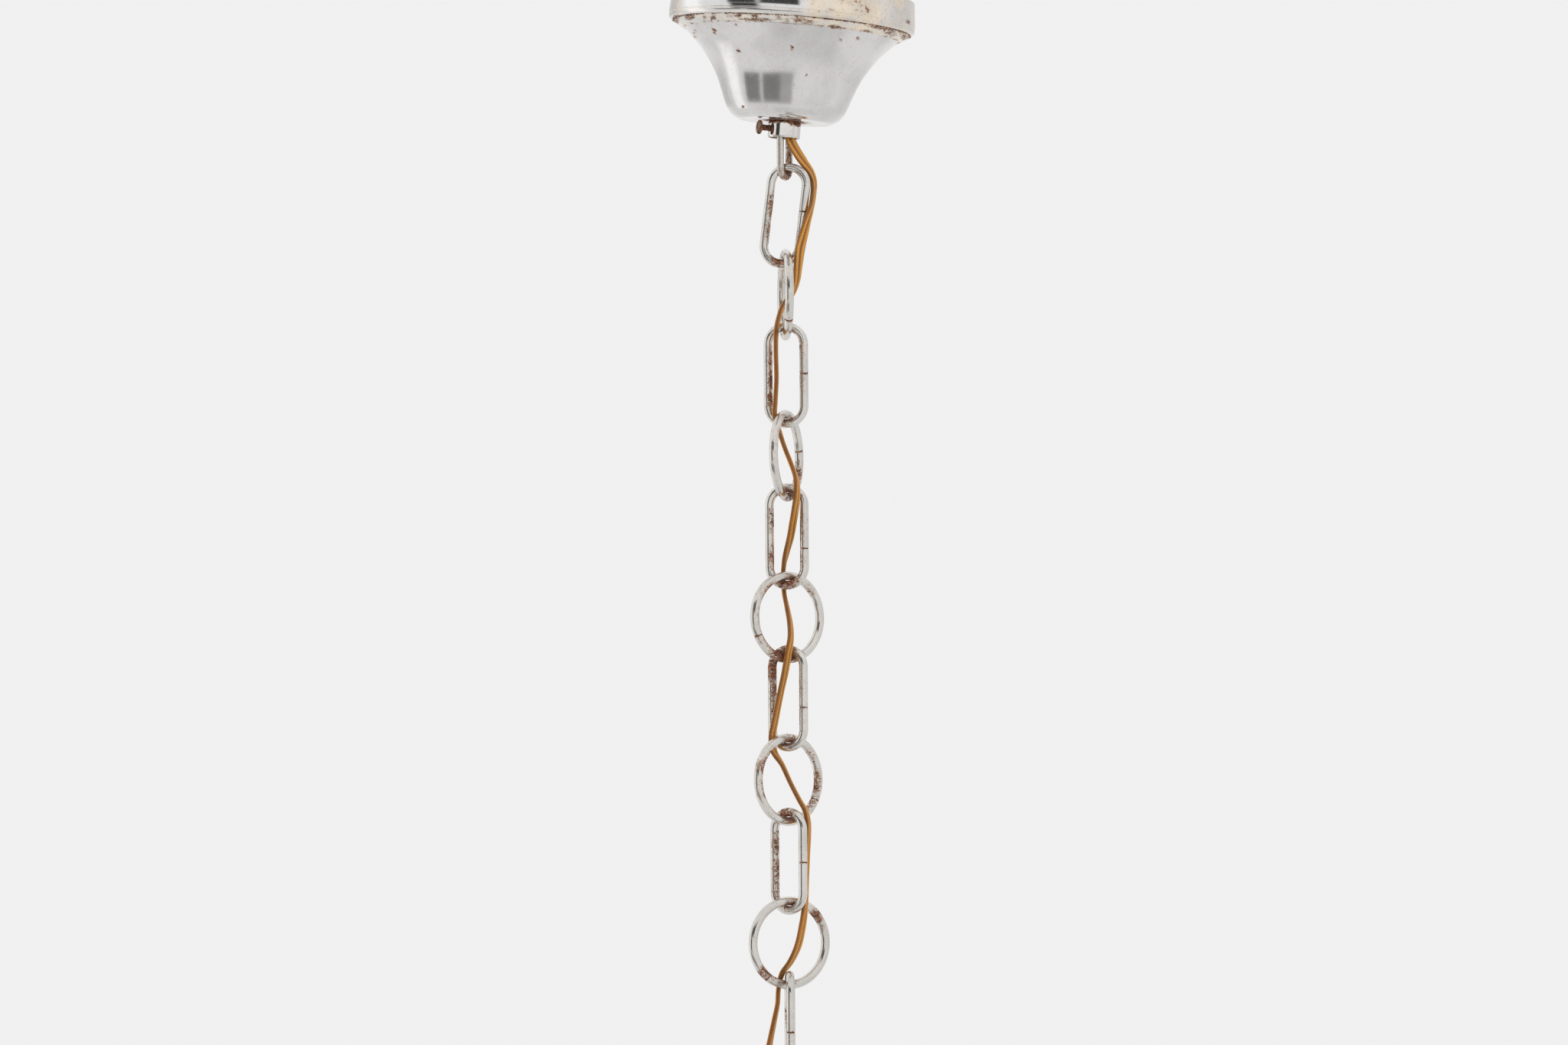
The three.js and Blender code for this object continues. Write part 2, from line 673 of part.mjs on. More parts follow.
// Flex: [x, y, z, turn] down its route, where turn is the direction that its wide side faces. The
// laced length is measured from the stirrup's lower bend.
const leadRoute = [
  [poles[0] - 0.5, -blockDepth / 2 - 1.5, sleeveLevel, 0],
  [17, -14, sleeveLevel - 4, 0],
  [12, -13, sleeveLevel - 20, 0],
  [6, -8.5, -40, 0],
  [3.2, -5.4, -49, 0],
  [2.4, -2, stirrupBottom + 39.5, 0],
  [2.4, -1.7, stirrupBottom + 37, 0],
];
const lacing = [
  [2.4, -1.7, 36.6, 0], [2.4, -1.7, 30.6, 0], [2.4, -1.7, 24, 0], [2.8, -1.8, 18, 5], [6.2, -1.1, 11.5, 20],
  [9.3, 0.5, 7, 35], [12.2, 1.8, 3, 50], [13.8, 2, -1.5, 62], [13.8, 0.8, -7, 75],
  [12.6, -2.2, -15, 78], [10.7, -4.7, -21.6, 55], [9.3, -5.5, -27, 38], [7.3, -5.6, -35, 15],
  [6.1, -4.9, -43.5, 35], [5.2, -2.8, -50.5, 55], [3, 0.4, -56.5, 70], [-1, 0.6, -62, 80],
  [-3.2, -2.2, -68, 85], [-4.5, -4.9, -74.5, 86], [-4.8, -5.1, -84, 88], [-4.6, -4.6, -98, 90],
  [-5.2, -4.6, -109, 88], [-5.5, -4.7, -116, 84], [-3.4, -4.3, -123, 84], [-0.8, -2.9, -131.1, 90],
  [2.1, -2.8, -138.6, 90], [4.4, -4.5, -145.6, 82], [4.9, -6.2, -153.1, 65], [4.1, -5.4, -160.1, 58],
  [2.9, -3.1, -167.1, 58], [1.6, -0.5, -174.1, 60], [-0.3, 1.9, -181.1, 72], [-1.5, 3.9, -186.6, 88],
  [-2, 5.1, -192.1, 92], [-1.8, 5.2, -196.6, 92], [-1.4, 4.4, -201.1, 90], [-0.2, 2, -207.1, 86],
  [1.2, -1.2, -215.1, 78], [1.5, -4.3, -221.8, 72], [0.8, -5.8, -227.1, 62], [-0.3, -5.6, -233.1, 60],
  [-1.4, -4.8, -239.1, 62], [-3, -3.7, -246.1, 66], [-4.6, -2.7, -253.6, 66], [-6.3, -2.1, -262.1, 62],
  [-7.6, -1.8, -269.1, 58], [-6.9, -1, -276.1, 62], [-3, 0.2, -282.6, 84], [1.1, 0.4, -291.6, 88],
  [5.2, 0.4, -299.6, 85], [8, 0.1, -304.6, 80], [9.2, -0.7, -310.1, 75], [9.1, -1.1, -317.1, 70],
  [8.6, -0.9, -325.1, 68], [8, -0.5, -337.1, 68], [7.5, -0.2, -350.1, 72], [6.3, 0.2, -359.1, 58],
  [4, 1.6, -369.1, 56], [0.4, 3.1, -376.6, 66], [-3.6, 3, -382.1, 78], [-5.3, 2.2, -389.1, 88],
  [-5.8, 1, -396.1, 88], [-7.3, -0.4, -403.6, 82], [-9.3, -2, -413.1, 76], [-10.8, -4.4, -421.1, 64],
  [-11.8, -5.6, -429.1, 55], [-12.3, -5.4, -438.1, 50],
];
const lacedRoute = [
  ...lacing.map(([x, y, rise, turn]) => [x, y, stirrupBottom + rise, turn]),
  [-flexEntryOffset, -3, coverTop + 11, 35], [-flexEntryOffset, -0.6, coverTop + 5, 12],
  [-flexEntryOffset, 0, coverTop + 1, 0], [-flexEntryOffset, 0, coreTop + 0.6, 0],
];

// Two round cores side by side, drawn as one section: its long way is X
function flexSection() {
  const core = flexThickness / 2;
  const offset = flexWidth / 2 - core;
  const side = [[offset + 0.35 * core, 0.94 * core], [offset + core, 0.36 * core]];
  const right = [...side, ...side.map(([x, y]) => [x, -y]).reverse()];
  const left = right.map(([x, y]) => [-x, -y]);
  return new THREE.Shape([...left, ...right].map(([x, y]) => new THREE.Vector2(x, y)).reverse());
}

function layFlex(route, from, to, steps) {
  const path = new THREE.CatmullRomCurve3(route.map(([x, y, z]) => new THREE.Vector3(x, y, z)));
  const last = route.length - 1;
  const points = [];
  const across = [];
  const directions = [];
  for (let i = 0; i <= steps; i += 1) {
    const t = (from + (to - from) * i / steps) / last;
    const stop = Math.min(Math.floor(t * last), last - 1);
    const turn = THREE.MathUtils.lerp(route[stop][3], route[stop + 1][3], t * last - stop);
    points.push(path.getPoint(t));
    directions.push(path.getTangent(t));
    across.push(new THREE.Vector3(Math.cos(degrees(turn)), Math.sin(degrees(turn)), 0));
  }
  return sweep(flexSection(), points, across, directions);
}

// Where a level falls between two points of the route, counted in points
function stationAt(level) {
  const next = lacedRoute.findIndex((point) => point[2] <= level);
  const [above, below] = [lacedRoute[next - 1][2], lacedRoute[next][2]];
  return next - 1 + (above - level) / (above - below);
}

add('flex_lead', layFlex(leadRoute, 0, leadRoute.length - 1, 10), amberFlex);

// The laced length is cut at the middle of each link, or a little off it, where nothing turns
const exitLevel = canopyFloor - collarHeight - 12.8;
const cuts = chain.map((link) => link.centre + (link.flexCut ?? 0));
const levels = [lacedRoute[0][2], exitLevel, ...cuts, coreTop + 0.6];
const endTrim = 0.06;
levels.slice(1).forEach((level, i) => {
  const from = i === 0 ? 0 : stationAt(levels[i]) + endTrim / 2;
  const to = i === levels.length - 2 ? lacedRoute.length - 1 : stationAt(level) - endTrim / 2;
  const steps = Math.max(4, Math.round((to - from) * 1.4));
  add(i === 0 ? 'flex_exit' : `flex_${i}`, layFlex(lacedRoute, from, to, steps), amberFlex);
});

export default lamp;
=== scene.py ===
# Chain pendant lamp: the looks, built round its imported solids.
# Metres, +Z up, -Y towards the camera. Sizes in the dictionaries are in millimetres and degrees.
import json
import math

import bmesh
import bpy
from mathutils import Matrix, Vector

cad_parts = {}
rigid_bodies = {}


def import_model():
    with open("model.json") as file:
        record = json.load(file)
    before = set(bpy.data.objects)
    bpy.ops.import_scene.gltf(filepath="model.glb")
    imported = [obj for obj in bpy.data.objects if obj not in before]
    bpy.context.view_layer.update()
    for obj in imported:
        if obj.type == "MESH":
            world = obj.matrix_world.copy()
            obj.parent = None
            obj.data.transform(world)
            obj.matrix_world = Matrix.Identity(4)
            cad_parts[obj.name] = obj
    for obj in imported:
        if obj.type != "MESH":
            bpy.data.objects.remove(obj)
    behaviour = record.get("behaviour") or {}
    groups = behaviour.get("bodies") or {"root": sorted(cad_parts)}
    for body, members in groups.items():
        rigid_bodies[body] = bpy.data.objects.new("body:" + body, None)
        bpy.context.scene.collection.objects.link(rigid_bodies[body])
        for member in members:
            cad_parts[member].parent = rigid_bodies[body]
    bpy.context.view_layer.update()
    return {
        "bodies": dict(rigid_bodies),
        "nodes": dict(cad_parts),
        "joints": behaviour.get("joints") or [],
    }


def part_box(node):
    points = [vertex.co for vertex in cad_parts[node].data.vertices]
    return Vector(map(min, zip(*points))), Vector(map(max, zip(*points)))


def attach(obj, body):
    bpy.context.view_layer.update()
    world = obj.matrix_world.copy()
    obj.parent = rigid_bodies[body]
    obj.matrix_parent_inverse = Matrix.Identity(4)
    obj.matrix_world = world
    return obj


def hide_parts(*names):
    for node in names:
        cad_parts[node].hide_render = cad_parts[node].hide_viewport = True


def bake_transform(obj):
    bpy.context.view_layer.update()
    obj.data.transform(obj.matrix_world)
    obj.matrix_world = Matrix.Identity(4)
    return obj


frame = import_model()
scene = bpy.context.scene
mm = 0.001


def upright(degrees):
    return Vector((math.cos(math.radians(degrees)), math.sin(math.radians(degrees)), 0))


def addObject(name, data):
    added = bpy.data.objects.new(name, data)
    scene.collection.objects.link(added)
    return added


# Camera

view = {
    "distance": 2000,
    "height": -382.6,
    "aside": -1.386,
    "pitch": 3.49,
    "roll": -0.34,
    "lens": 95.97,
}

cameraData = bpy.data.cameras.new("camera")
cameraData.lens = view["lens"]
cameraData.sensor_width = 36
cameraData.clip_end = 50
camera = addObject("camera", cameraData)
looking = Matrix.Rotation(math.radians(90 + view["pitch"]), 4, "X")
camera.matrix_world = (
    Matrix.Translation(Vector((view["aside"], -view["distance"], view["height"])) * mm)
    @ looking
    @ Matrix.Rotation(math.radians(view["roll"]), 4, "Z")
)
scene.camera = camera
print("camera set")


# Materials

def newMaterial(name):
    material = bpy.data.materials.new(name)
    material.use_nodes = True
    tree = material.node_tree
    tree.nodes.clear()
    output = tree.nodes.new("ShaderNodeOutputMaterial")
    shader = tree.nodes.new("ShaderNodeBsdfPrincipled")
    tree.links.new(shader.outputs[0], output.inputs[0])
    return material, tree, shader


def addNode(tree, kind, links=None, **settings):
    node = tree.nodes.new(kind)
    for key, value in settings.items():
        if key in node.inputs:
            node.inputs[key].default_value = value
        else:
            setattr(node, key, value)
    for key, source in (links or {}).items():
        tree.links.new(source, node.inputs[key])
    return node


def noise(tree, vector, scale, detail=3.0, roughness=0.55, distortion=0.0):
    settings = {"Scale": scale, "Detail": detail, "Roughness": roughness, "Distortion": distortion}
    return addNode(tree, "ShaderNodeTexNoise", {"Vector": vector}, **settings).outputs["Fac"]


def ramp(tree, value, stops):
    node = tree.nodes.new("ShaderNodeValToRGB")
    elements = node.color_ramp.elements
    while len(elements) < len(stops):
        elements.new(0.5)
    for element, (place, color) in zip(elements, stops):
        element.position = place
        element.color = (*color, 1) if hasattr(color, "__len__") else (color, color, color, 1)
    tree.links.new(value, node.inputs["Fac"])
    return node.outputs["Color"]


def mathNode(tree, operation, first, second=None, clamp=False):
    node = tree.nodes.new("ShaderNodeMath")
    node.operation = operation
    node.use_clamp = clamp
    for socket, value in zip(node.inputs, (first, second)):
        if value is None:
            continue
        if isinstance(value, (int, float)):
            socket.default_value = value
        else:
            tree.links.new(value, socket)
    return node.outputs[0]


def plus(tree, first, second):
    return mathNode(tree, "ADD", first, second)


def times(tree, first, second):
    return mathNode(tree, "MULTIPLY", first, second)


def vectorNode(tree, operation, first, second=None):
    node = addNode(tree, "ShaderNodeVectorMath", {0: first}, operation=operation)
    if isinstance(second, Vector):
        node.inputs[1].default_value = second
    elif second:
        tree.links.new(second, node.inputs[1])
    return node


def step(tree, value, low, high):
    # 0 under low, 1 over high, smooth between
    node = addNode(tree, "ShaderNodeMapRange", {"Value": value}, interpolation_type="SMOOTHSTEP")
    node.inputs["From Min"].default_value = low
    node.inputs["From Max"].default_value = high
    return node.outputs["Result"]


def mixColor(tree, share, first, second):
    node = tree.nodes.new("ShaderNodeMix")
    node.data_type = "RGBA"
    tree.links.new(share, node.inputs["Factor"])
    for socket, value in ((node.inputs[6], first), (node.inputs[7], second)):
        if hasattr(value, "__len__"):
            socket.default_value = (*value, 1)
        else:
            tree.links.new(value, socket)
    return node.outputs[2]


def mixValue(tree, share, first, second):
    node = tree.nodes.new("ShaderNodeMix")
    node.data_type = "FLOAT"
    tree.links.new(share, node.inputs["Factor"])
    for socket, value in ((node.inputs[2], first), (node.inputs[3], second)):
        if isinstance(value, (int, float)):
            socket.default_value = value
        else:
            tree.links.new(value, socket)
    return node.outputs[0]


def bump(tree, shader, height, strength, distance):
    node = addNode(tree, "ShaderNodeBump", {"Height": height}, Strength=strength, Distance=distance)
    tree.links.new(node.outputs[0], shader.inputs["Normal"])


def setInputs(shader, values):
    for key, value in values.items():
        shader.inputs[key].default_value = value


def place(tree):
    return tree.nodes.new("ShaderNodeTexCoord").outputs["Object"]


def attribute(tree, name):
    node = tree.nodes.new("ShaderNodeAttribute")
    node.attribute_name = name
    return node.outputs["Fac"]


plating = {
    "coarse": 380,
    "fine": 1350,
    "broad": 70,
    "pits": 800,
    "blotches": 620,
    "wearReach": 0.32,
    "agedReach": 0.04,
    "rustFrom": (0.655, 0.715),
    "stainFrom": (0.52, 0.70),
    "stainShare": 0.6,
    "stainTint": (0.80, 0.66, 0.53),
    "dust": 0.87,
    "rustRoughness": 0.8,
    "bump": (0.5, 0.00012),
}
rustTones = [(0.040, 0.019, 0.013), (0.175, 0.068, 0.037), (0.36, 0.155, 0.08)]
bandRust = [(0.045, 0.024, 0.014), (0.17, 0.085, 0.05), (0.40, 0.24, 0.15)]


def platedSteel(name, plate, roughness, speckle=0.42, cloud=0.05, grain=1.0, aged=None, rust=None):
    # Bright plating that gives way to brown rust where the surface's own wear value is high
    material, tree, shader = newMaterial(name)
    dark, middle, light = rust or rustTones
    spot = place(tree)
    coarse = noise(tree, spot, plating["coarse"] * grain, 4, 0.66, 0.4)
    fine = noise(tree, spot, plating["fine"] * grain, 3, 0.62)
    broad = noise(tree, spot, plating["broad"], 3, 0.5)
    mixed = plus(tree, times(tree, coarse, 0.5), times(tree, fine, 0.5))
    reach = plus(tree, mixed, times(tree, attribute(tree, "wear"), plating["wearReach"]))
    base = plate
    if aged:
        reach = plus(tree, reach, times(tree, attribute(tree, "aged"), plating["agedReach"]))
        base = mixColor(tree, attribute(tree, "aged"), plate, aged)
    stain = step(tree, reach, *plating["stainFrom"])
    pitted = noise(tree, spot, plating["pits"] * grain, 2, 0.5)
    pits = step(tree, pitted, 0.5 + speckle * 0.5, 0.53 + speckle * 0.5)
    rusted = mathNode(tree, "MAXIMUM", step(tree, reach, *plating["rustFrom"]), pits)
    blotches = noise(tree, spot, plating["blotches"] * grain, 4, 0.66)
    tone = ramp(tree, blotches, [(0.38, dark), (0.5, middle), (0.62, light)])
    dust = tuple(c * plating["dust"] for c in plate)
    dusty = mixColor(tree, step(tree, broad, 0.35, 0.72), base, dust)
    stained = tuple(a * b for a, b in zip(plate, plating["stainTint"]))
    tinted = mixColor(tree, times(tree, stain, plating["stainShare"]), dusty, stained)
    tree.links.new(mixColor(tree, rusted, tinted, tone), shader.inputs["Base Color"])
    tree.links.new(mixValue(tree, rusted, 1.0, 0.1), shader.inputs["Metallic"])
    dull = plus(tree, times(tree, broad, cloud * 2), roughness - cloud)
    worn = mixValue(tree, stain, dull, roughness + 0.18)
    tree.links.new(mixValue(tree, rusted, worn, plating["rustRoughness"]), shader.inputs["Roughness"])
    height = plus(tree, times(tree, fine, 0.10), times(tree, rusted, 0.45))
    bump(tree, shader, height, *plating["bump"])
    return material


chainPlating = platedSteel("chainPlating", (0.76, 0.74, 0.71), 0.15, speckle=0.41, grain=1.4)
stirrupPlating = platedSteel("stirrupPlating", (0.70, 0.67, 0.63), 0.24, speckle=0.37, grain=1.5)
collarPlating = platedSteel("collarPlating", (0.82, 0.81, 0.79), 0.08, speckle=0.46, cloud=0.03)
bandPlating = platedSteel(
    "bandPlating", (0.80, 0.80, 0.81), 0.09, speckle=0.40, cloud=0.03, grain=1.5,
    aged=(0.90, 0.79, 0.65), rust=bandRust,
)
cupPlating = platedSteel("cupPlating", (0.79, 0.785, 0.79), 0.13, speckle=0.44, cloud=0.04, grain=1.5)
coverPlating = platedSteel("coverPlating", (0.80, 0.79, 0.77), 0.1, speckle=0.5, cloud=0.03)
rustedScrew = platedSteel("rustedScrew", (0.36, 0.27, 0.22), 0.4, speckle=0.12)


def plainMetal(name, color, roughness, grain=420):
    material, tree, shader = newMaterial(name)
    spot = place(tree)
    mottle = noise(tree, spot, grain, 3)
    fine = noise(tree, spot, grain * 4, 2)
    dark = tuple(c * 0.72 for c in color)
    shine = [(0.3, roughness * 0.8), (0.7, roughness * 1.25)]
    tree.links.new(ramp(tree, mottle, [(0.3, dark), (0.62, color)]), shader.inputs["Base Color"])
    tree.links.new(ramp(tree, fine, shine), shader.inputs["Roughness"])
    setInputs(shader, {"Metallic": 1})
    bump(tree, shader, fine, 0.25, 0.00005)
    return material


zincPlate = plainMetal("zincPlate", (0.56, 0.57, 0.59), 0.38, 300)
brassPlain = plainMetal("brassPlain", (0.70, 0.50, 0.20), 0.28)
tungsten = plainMetal("tungsten", (0.30, 0.30, 0.31), 0.4, 900)
copper = plainMetal("copper", (0.80, 0.40, 0.22), 0.35, 900)


def glazed(name, color, roughness, coat=0.6):
    material, tree, shader = newMaterial(name)
    spot = place(tree)
    cloud = noise(tree, spot, 140, 3)
    fine = noise(tree, spot, 900, 2)
    dark = tuple(c * 0.86 for c in color)
    shine = [(0.3, roughness * 0.8), (0.7, roughness * 1.3)]
    tree.links.new(ramp(tree, cloud, [(0.35, dark), (0.65, color)]), shader.inputs["Base Color"])
    tree.links.new(ramp(tree, fine, shine), shader.inputs["Roughness"])
    setInputs(shader, {"Coat Weight": coat, "Coat Roughness": 0.06})
    bump(tree, shader, cloud, 0.12, 0.0002)
    return material


porcelain = glazed("porcelain", (0.80, 0.78, 0.71), 0.3)
phenolic = glazed("phenolic", (0.028, 0.022, 0.019), 0.26, 0.35)


# The flex's own amber with painted light: painted shade in the groove between the cores, a painted highlight
# over each core, painted shade out to the flex's edge
amberShadeAndHighlightTones = [
    (0.0, (0.15, 0.058, 0.007)), (0.12, (0.28, 0.112, 0.012)), (0.42, (0.68, 0.315, 0.045)),
    (0.66, (0.60, 0.262, 0.032)), (0.88, (0.30, 0.117, 0.012)), (1.0, (0.17, 0.062, 0.008)),
]


def amberSkinMaterial():
    # Amber over two copper cores, with painted light: a painted highlight along each core's middle, painted
    # shade in the groove and at the edges
    material, tree, shader = newMaterial("amberSkin")
    across = attribute(tree, "across")
    both = tree.nodes.new("ShaderNodeCombineXYZ")
    tree.links.new(times(tree, across, 2.4), both.inputs[0])
    tree.links.new(times(tree, attribute(tree, "along"), 0.35), both.inputs[1])
    strands = noise(tree, both.outputs[0], 3.2, 3, 0.6, 0.3)
    # painted shade and painted highlight, set by the place across the flex
    tone = ramp(tree, mathNode(tree, "ABSOLUTE", across), amberShadeAndHighlightTones)
    light = ramp(tree, strands, [(0.3, 0.70), (0.55, 1.0), (0.75, 1.25)])
    shaded = vectorNode(tree, "MULTIPLY", tone, light).outputs[0]
    warmth = step(tree, noise(tree, place(tree), 60, 2), 0.35, 0.7)
    warm = mixColor(tree, warmth, shaded, (0.50, 0.18, 0.02))
    final = mixColor(tree, times(tree, warmth, 0.25), shaded, warm)
    tree.links.new(final, shader.inputs["Base Color"])
    setInputs(shader, {"Roughness": 0.34, "Metallic": 0.3, "Coat Weight": 0.4, "Coat Roughness": 0.08})
    bump(tree, shader, strands, 0.15, 0.0001)
    return material


def bulbGlassMaterial():
    material, tree, shader = newMaterial("bulbGlass")
    slow = noise(tree, place(tree), 30, 2)
    tint = ramp(tree, slow, [(0.3, (0.94, 0.96, 0.96)), (0.7, (1, 1, 1))])
    tree.links.new(tint, shader.inputs["Base Color"])
    tree.links.new(ramp(tree, slow, [(0.3, 0.0), (0.7, 0.03)]), shader.inputs["Roughness"])
    setInputs(shader, {"Transmission Weight": 1, "IOR": 1.45})
    return material


amberSkin = amberSkinMaterial()
bulbGlass = bulbGlassMaterial()
print("materials made")


# Mesh helpers

def reshape(mesh, work):
    solid = bmesh.new()
    solid.from_mesh(mesh)
    work(solid)
    solid.to_mesh(mesh)
    solid.free()


def faceOutward(solid):
    bmesh.ops.recalc_face_normals(solid, faces=solid.faces)
    for face in solid.faces:
        face.smooth = True


def weld(solid):
    bmesh.ops.remove_doubles(solid, verts=solid.verts, dist=1e-7)
    faceOutward(solid)


def newPiece(name, vertices, faces, material, body, stands=(), values=None):
    mesh = bpy.data.meshes.new(name)
    mesh.from_pydata([tuple(v) for v in vertices], [], faces)
    for key, numbers in (values or {}).items():
        layer = mesh.attributes.new(key, "FLOAT", "POINT")
        layer.data.foreach_set("value", numbers)
    reshape(mesh, faceOutward)
    mesh.materials.append(material)
    piece = addObject(name, mesh)
    if body:
        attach(piece, body)
    if stands:
        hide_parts(*stands)
    return piece


def sharpen(piece, degrees=35):
    # Edges sharper than this stay crisp
    def crisp(solid):
        for edge in solid.edges:
            if len(edge.link_faces) == 2 and edge.calc_face_angle(0) > math.radians(degrees):
                edge.smooth = False

    reshape(piece.data, crisp)


def ringFaces(rows, sides, closedRows=False):
    faces = []
    for row in range(rows if closedRows else rows - 1):
        following = (row + 1) % rows
        for side in range(sides):
            after = (side + 1) % sides
            faces.append((
                row * sides + side, row * sides + after, following * sides + after, following * sides + side,
            ))
    return faces


def arc(radius, start, end, steps, centreX=0.0, centreZ=0.0):
    points = []
    for i in range(steps + 1):
        angle = math.radians(start + (end - start) * i / steps)
        points.append((centreX + radius * math.cos(angle), centreZ + radius * math.sin(angle)))
    return points


def turnedPiece(
    name, outline, material, body, stands=(), sides=96, placed=None, wear=None, ripple=None, crisp=35,
):
    # A closed outline of (radius, height), turned round Z, then placed
    vertices, worn = [], []
    placed = placed or Matrix.Identity(4)
    for radius, height in outline:
        for side in range(sides):
            angle = 2 * math.pi * side / sides
            grown = radius + (ripple(radius, height, angle) if ripple else 0)
            spot = Vector((grown * math.cos(angle), grown * math.sin(angle), height))
            vertices.append(placed @ (spot * mm))
            worn.append(wear(radius, height, math.degrees(angle)) if wear else 0.0)
    faces = ringFaces(len(outline), sides, closedRows=True)
    piece = newPiece(name, vertices, faces, material, body, stands, {"wear": worn})
    reshape(piece.data, weld)
    sharpen(piece, crisp)
    return piece


def raised(level, rows):
    # Rows of (radius, height above the level)
    return [(radius, level + rise) for radius, rise in rows]


def inset(radius, rows):
    # Rows of (depth in from the radius, height)
    return [(radius - depth, height) for depth, height in rows]


def smoothed(points, steps):
    # A smooth curve through the points
    return [splineAt(points, i / steps) for i in range((len(points) - 1) * steps + 1)]


def smoothRows(rows, steps):
    return [(p.x, p.z) for p in smoothed([(r, 0, z) for r, z in rows], steps)]


def splineAt(points, at):
    # The centripetal curve that the solids follow; at counts in points
    last = len(points) - 1
    i = min(int(at), last - 1)
    part = at - i
    p1, p2 = Vector(points[i]), Vector(points[i + 1])
    p0 = Vector(points[i - 1]) if i else 2 * p1 - p2
    p3 = Vector(points[i + 2]) if i + 2 <= last else 2 * p2 - p1
    d0, d1, d2 = ((b - a).length ** 0.5 for a, b in ((p0, p1), (p1, p2), (p2, p3)))
    t1 = ((p1 - p0) / d0 - (p2 - p0) / (d0 + d1) + (p2 - p1) / d1) * d1
    t2 = ((p2 - p1) / d1 - (p3 - p1) / (d1 + d2) + (p3 - p2) / d2) * d1
    c2 = 3 * (p2 - p1) - 2 * t1 - t2
    c3 = 2 * (p1 - p2) + t1 + t2
    return p1 + t1 * part + c2 * part ** 2 + c3 * part ** 3


# Flex

flex = {
    "width": 4.8,
    "thickness": 2.3,
    "outline": 28,
    "wrap": 142,
    "rowGap": 0.9,
    "pointGap": 7,
    "nudge": 0.02,
    "leadBlend": (-20, -52),
    "exitDrop": 20,
    "exitBlend": (8, 0.8),
    "blendMargin": 2.6,
}

# The flex's way down the lamp: (x, y, height over the stirrup's bend, turn)
lacing = [
    (2.4, -1.7, 36.6, 0), (2.4, -1.7, 30.6, 0), (2.4, -1.7, 24, 0), (2.8, -1.8, 18, 5),
    (6.2, -1.1, 11.5, 20), (9.3, 0.5, 7, 35), (12.2, 1.8, 3, 50), (13.8, 2, -1.5, 62), (13.8, 0.8, -7, 75),
    (12.6, -2.2, -15, 78), (10.7, -4.7, -21.6, 55), (9.3, -5.5, -27, 38), (7.3, -5.6, -35, 15),
    (6.1, -4.9, -43.5, 35), (5.2, -2.8, -50.5, 55), (3, 0.4, -56.5, 70), (-1, 0.6, -62, 80),
    (-3.2, -2.2, -68, 85), (-4.5, -4.9, -74.5, 86), (-4.8, -5.1, -84, 88), (-4.6, -4.6, -98, 90),
    (-5.2, -4.6, -109, 88), (-5.5, -4.7, -116, 84), (-3.4, -4.3, -123, 84), (-0.8, -2.9, -131.1, 90),
    (2.1, -2.8, -138.6, 90), (4.4, -4.5, -145.6, 82), (4.9, -6.2, -153.1, 65), (4.1, -5.4, -160.1, 58),
    (2.9, -3.1, -167.1, 58), (1.6, -0.5, -174.1, 60), (-0.3, 1.9, -181.1, 72), (-1.5, 3.9, -186.6, 88),
    (-2, 5.1, -192.1, 92), (-1.8, 5.2, -196.6, 92), (-1.4, 4.4, -201.1, 90), (-0.2, 2, -207.1, 86),
    (1.2, -1.2, -215.1, 78), (1.5, -4.3, -221.8, 72), (0.8, -5.8, -227.1, 62), (-0.3, -5.6, -233.1, 60),
    (-1.4, -4.8, -239.1, 62), (-3, -3.7, -246.1, 66), (-4.6, -2.7, -253.6, 66), (-6.3, -2.1, -262.1, 62),
    (-7.6, -1.8, -269.1, 58), (-6.9, -1, -276.1, 62), (-3, 0.2, -282.6, 84), (1.1, 0.4, -291.6, 88),
    (5.2, 0.4, -299.6, 85), (8, 0.1, -304.6, 80), (9.2, -0.7, -310.1, 75), (9.1, -1.1, -317.1, 70),
    (8.6, -0.9, -325.1, 68), (8, -0.5, -337.1, 68), (7.5, -0.2, -350.1, 72), (6.3, 0.2, -359.1, 58),
    (4, 1.6, -369.1, 56), (0.4, 3.1, -376.6, 66), (-3.6, 3, -382.1, 78), (-5.3, 2.2, -389.1, 88),
    (-5.8, 1, -396.1, 88), (-7.3, -0.4, -403.6, 82), (-9.3, -2, -413.1, 76), (-10.8, -4.4, -421.1, 64),
    (-11.8, -5.6, -429.1, 55), (-12.3, -5.4, -438.1, 50),
]

swings = {joint["child"]: joint for joint in frame["joints"]}


def pivotLevel(body):
    # Height of the joint that the body hangs on
    return swings[body]["pos_m"][2] / mm


stirrupBottom = pivotLevel("long_link_1")
canopyFloor = stirrupBottom + 27
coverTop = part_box("socket_cover")[1].z / mm
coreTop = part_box("lampholder_core")[1].z / mm
entryOffset = 12.5
leadRoute = [
    (19.5, -8.5, -9.3, 0), (17, -14, -13.3, 0), (12, -13, -29.3, 0), (6, -8.5, -40, 0),
    (3.2, -5.4, -49, 0), (2.4, -2, stirrupBottom + 39.5, 0), (2.4, -1.7, stirrupBottom + 37, 0),
]
route = [(x, y, stirrupBottom + rise, turn) for x, y, rise, turn in lacing]
route += [
    (-entryOffset, -3, coverTop + 11, 35), (-entryOffset, -0.6, coverTop + 5, 12),
    (-entryOffset, 0, coverTop + 1, 0), (-entryOffset, 0, coreTop + 0.6, 0),
]


def flexOutline():
    # Two round cores side by side
    core = flex["thickness"] / 2
    offset = flex["width"] / 2 - core
    half = flex["outline"] // 2
    right = []
    for i in range(half):
        angle = math.radians(-flex["wrap"] + 2 * flex["wrap"] * i / (half - 1))
        right.append((offset + core * math.cos(angle), core * math.sin(angle)))
    return right + [(-x, -y) for x, y in right]


def stationAt(points, level):
    # Where the route first comes down to the level, counted in points
    for i in range(1, len(points)):
        if points[i][2] <= level:
            above, below = points[i - 1][2], points[i][2]
            return i - 1 + (above - level) / (above - below)
    return len(points) - 1


